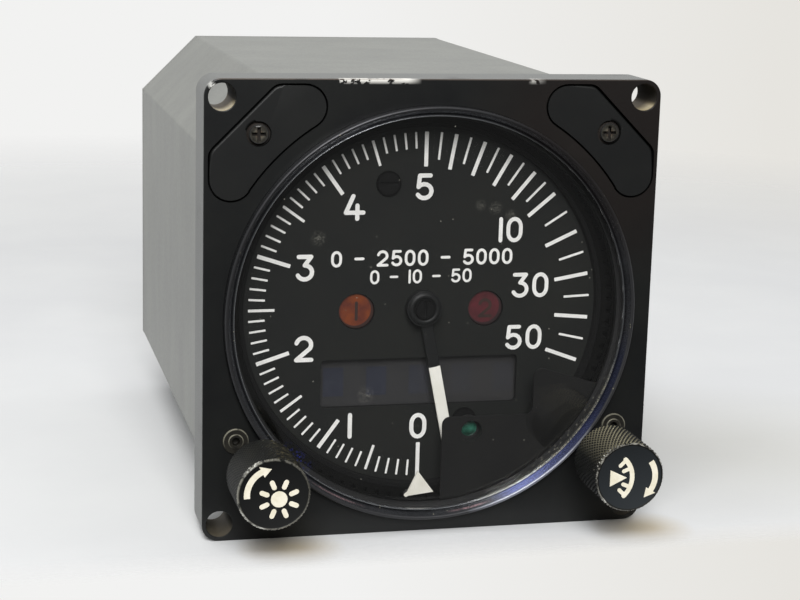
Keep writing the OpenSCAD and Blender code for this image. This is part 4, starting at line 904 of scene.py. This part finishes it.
# Satin faces, the right-hand one rubbed greyer
inside_rim = knob_black.around(*KNOB, 5.78, 5.84, folded=True)
knob_black.lay("#101111", on_face, inside_rim, rough=0.85)
knob_black.lay("#24282b", on_face, inside_rim, on_limit, rough=0.85, share=0.9)


def turned(centre, r, turn):
    """The point at radius r round a centre (x, z), so many degrees up from the right"""
    t = math.radians(turn)
    return (centre[0] + r * math.cos(t), centre[1] + r * math.sin(t))


def curved_arrow(bm, x, start, end, inner=4.6):
    """An arrow bent round a knob's face, from angle start to its tip at angle end"""
    way = -1 if end < start else 1
    shaft_end, barb = end - way * 17, end - way * 22
    ink(bm, arc(x, KNOB_Z, inner, inner, start, shaft_end), 1.05, SUNK_FACE, square=True)
    corners = ((inner, end), (inner + 1.05, barb), (inner - 1.05, barb))
    plate(bm, [[turned((x, KNOB_Z), r, turn) for r, turn in corners]], SUNK_FACE, 0.036)


# The dimmer's sun
sun = bmesh.new()
curved_arrow(sun, -KNOB_X, 186, 95)
middle = (-KNOB_X + 0.9, KNOB_Z - 0.8)
ink(sun, arc(*middle, 0.72, 0.72, 0, 360 - 22.5, 15), 1.4, SUNK_FACE, closed=True)
for ray in range(8):
    ink(sun, [turned(middle, r, 45 * (ray + 0.5)) for r in (2.25, 3.2)], 0.85, SUNK_FACE)
finished("dimmer_marks", sun, knob_ivory, "brt_knob")

# The limit's mark on a scale
limit = bmesh.new()
curved_arrow(limit, KNOB_X, 36, -54, 4.7)
middle = (KNOB_X - 4.2, KNOB_Z)
ink(limit, arc(*middle, 4.6, 4.6, 46, -46), 0.85, SUNK_FACE)
for turn in (44, 22, -22, -44):
    ink(limit, [turned(middle, r, turn) for r in (3.2, 4.5)], 0.7, SUNK_FACE, 0.036)
corners = ((3.6, 0), (0.5, 1.5), (0.5, -1.5))
plate(limit, [[(middle[0] + dx, middle[1] + dz) for dx, dz in corners]], SUNK_FACE)
finished("limit_marks", limit, knob_ivory, "set_knob")


# The case and the rear

eased("case", 0.35)
eased("rear_cover", 0.15)
eased("rear_screws", 0.15)
eased("rear_connector", 0.2)
eased("connector_insert", 0.08)
eased("connector_screws", 0.12)


# The floor and the world

floor = bmesh.new()
bmesh.ops.create_circle(floor, cap_ends=True, segments=96, radius=2500)
bmesh.ops.translate(floor, vec=(0, 2380, -FLANGE_HALF), verts=floor.verts)
bmesh.ops.scale(floor, vec=(MM, MM, MM), verts=floor.verts)
floor_mesh = bpy.data.meshes.new("studio_floor")
floor.to_mesh(floor_mesh)
floor.free()
# Pale matt paper that fades into the backdrop all round, and just in front of the object
paper = Finish("studio_paper", "#c9cacb", "#cfd0d0", drift=90, grain=1.5, rough=(0.8, 0.9),
               relief=0.0)
# Painted shadow: the paper is laid warmer and darker under each knob, where their shadows fall,
# and a little darker on the right as a soft painted shadow
for x, y in ((-26.3, -16), (39.9, -15.5)):
    paper.lay("#b7a98c", paper.around(x, y, None, 2, 10), share=0.8)
paper.lay("#b5b4ae", paper.around(80, 30, None, 8, 55), share=0.6)
gone = paper.add("BsdfTransparent", linear("#ffffff"))
shown = paper.add("Math", paper.around(0, 40, None, 240, 520), paper.past("Y", -27, -16),
                  operation="MULTIPLY")
paper.tree.links.new(paper.add("MixShader", shown, gone, paper.shader.outputs[0]),
                     paper.output.inputs["Surface"])
floor_mesh.materials.append(paper.material)
floor_object = bpy.data.objects.new("studio_floor", floor_mesh)
bpy.context.scene.collection.objects.link(floor_object)

world = bpy.data.worlds.new("studio")
world.use_nodes = True
bpy.context.scene.world = world
sky = world.node_tree
sky.nodes.clear()
# The room lights the object from above, behind and the sides, and is dark in front. The camera
# sees a pale backdrop all round, and glossy and clear surfaces see the dark in front as well
ahead = add(sky, "SeparateXYZ", add(sky, "TexCoord", out="Generated"), out="Y")
room = add(sky, "MapRange", ahead, -0.45, 0.05, 0.12, 1.0)
rays = add(sky, "LightPath").node.outputs
mirrored = add(sky, "Math", rays["Is Glossy Ray"], rays["Is Transmission Ray"], operation="MAXIMUM")
lit = add(sky, "Background", linear("#ffffff"), room)
sideways = add(sky, "SeparateXYZ", add(sky, "TexCoord", out="Generated"), out="X")
backdrop = add(sky, "Mix", at={0: add(sky, "MapRange", sideways, 0.2, 0.42), 6: linear("#f2f2f1"),
                               7: linear("#e6e4df")}, out=2, data_type="RGBA")
seen = add(sky, "Background", backdrop, 1.0)
seen_in_gloss = add(sky, "Background", linear("#eeefee"), room)
light = add(sky, "MixShader", mirrored, lit, seen_in_gloss)
add(sky, "OutputWorld", add(sky, "MixShader", rays["Is Camera Ray"], light, seen))

bpy.context.scene.view_settings.view_transform = "Standard"
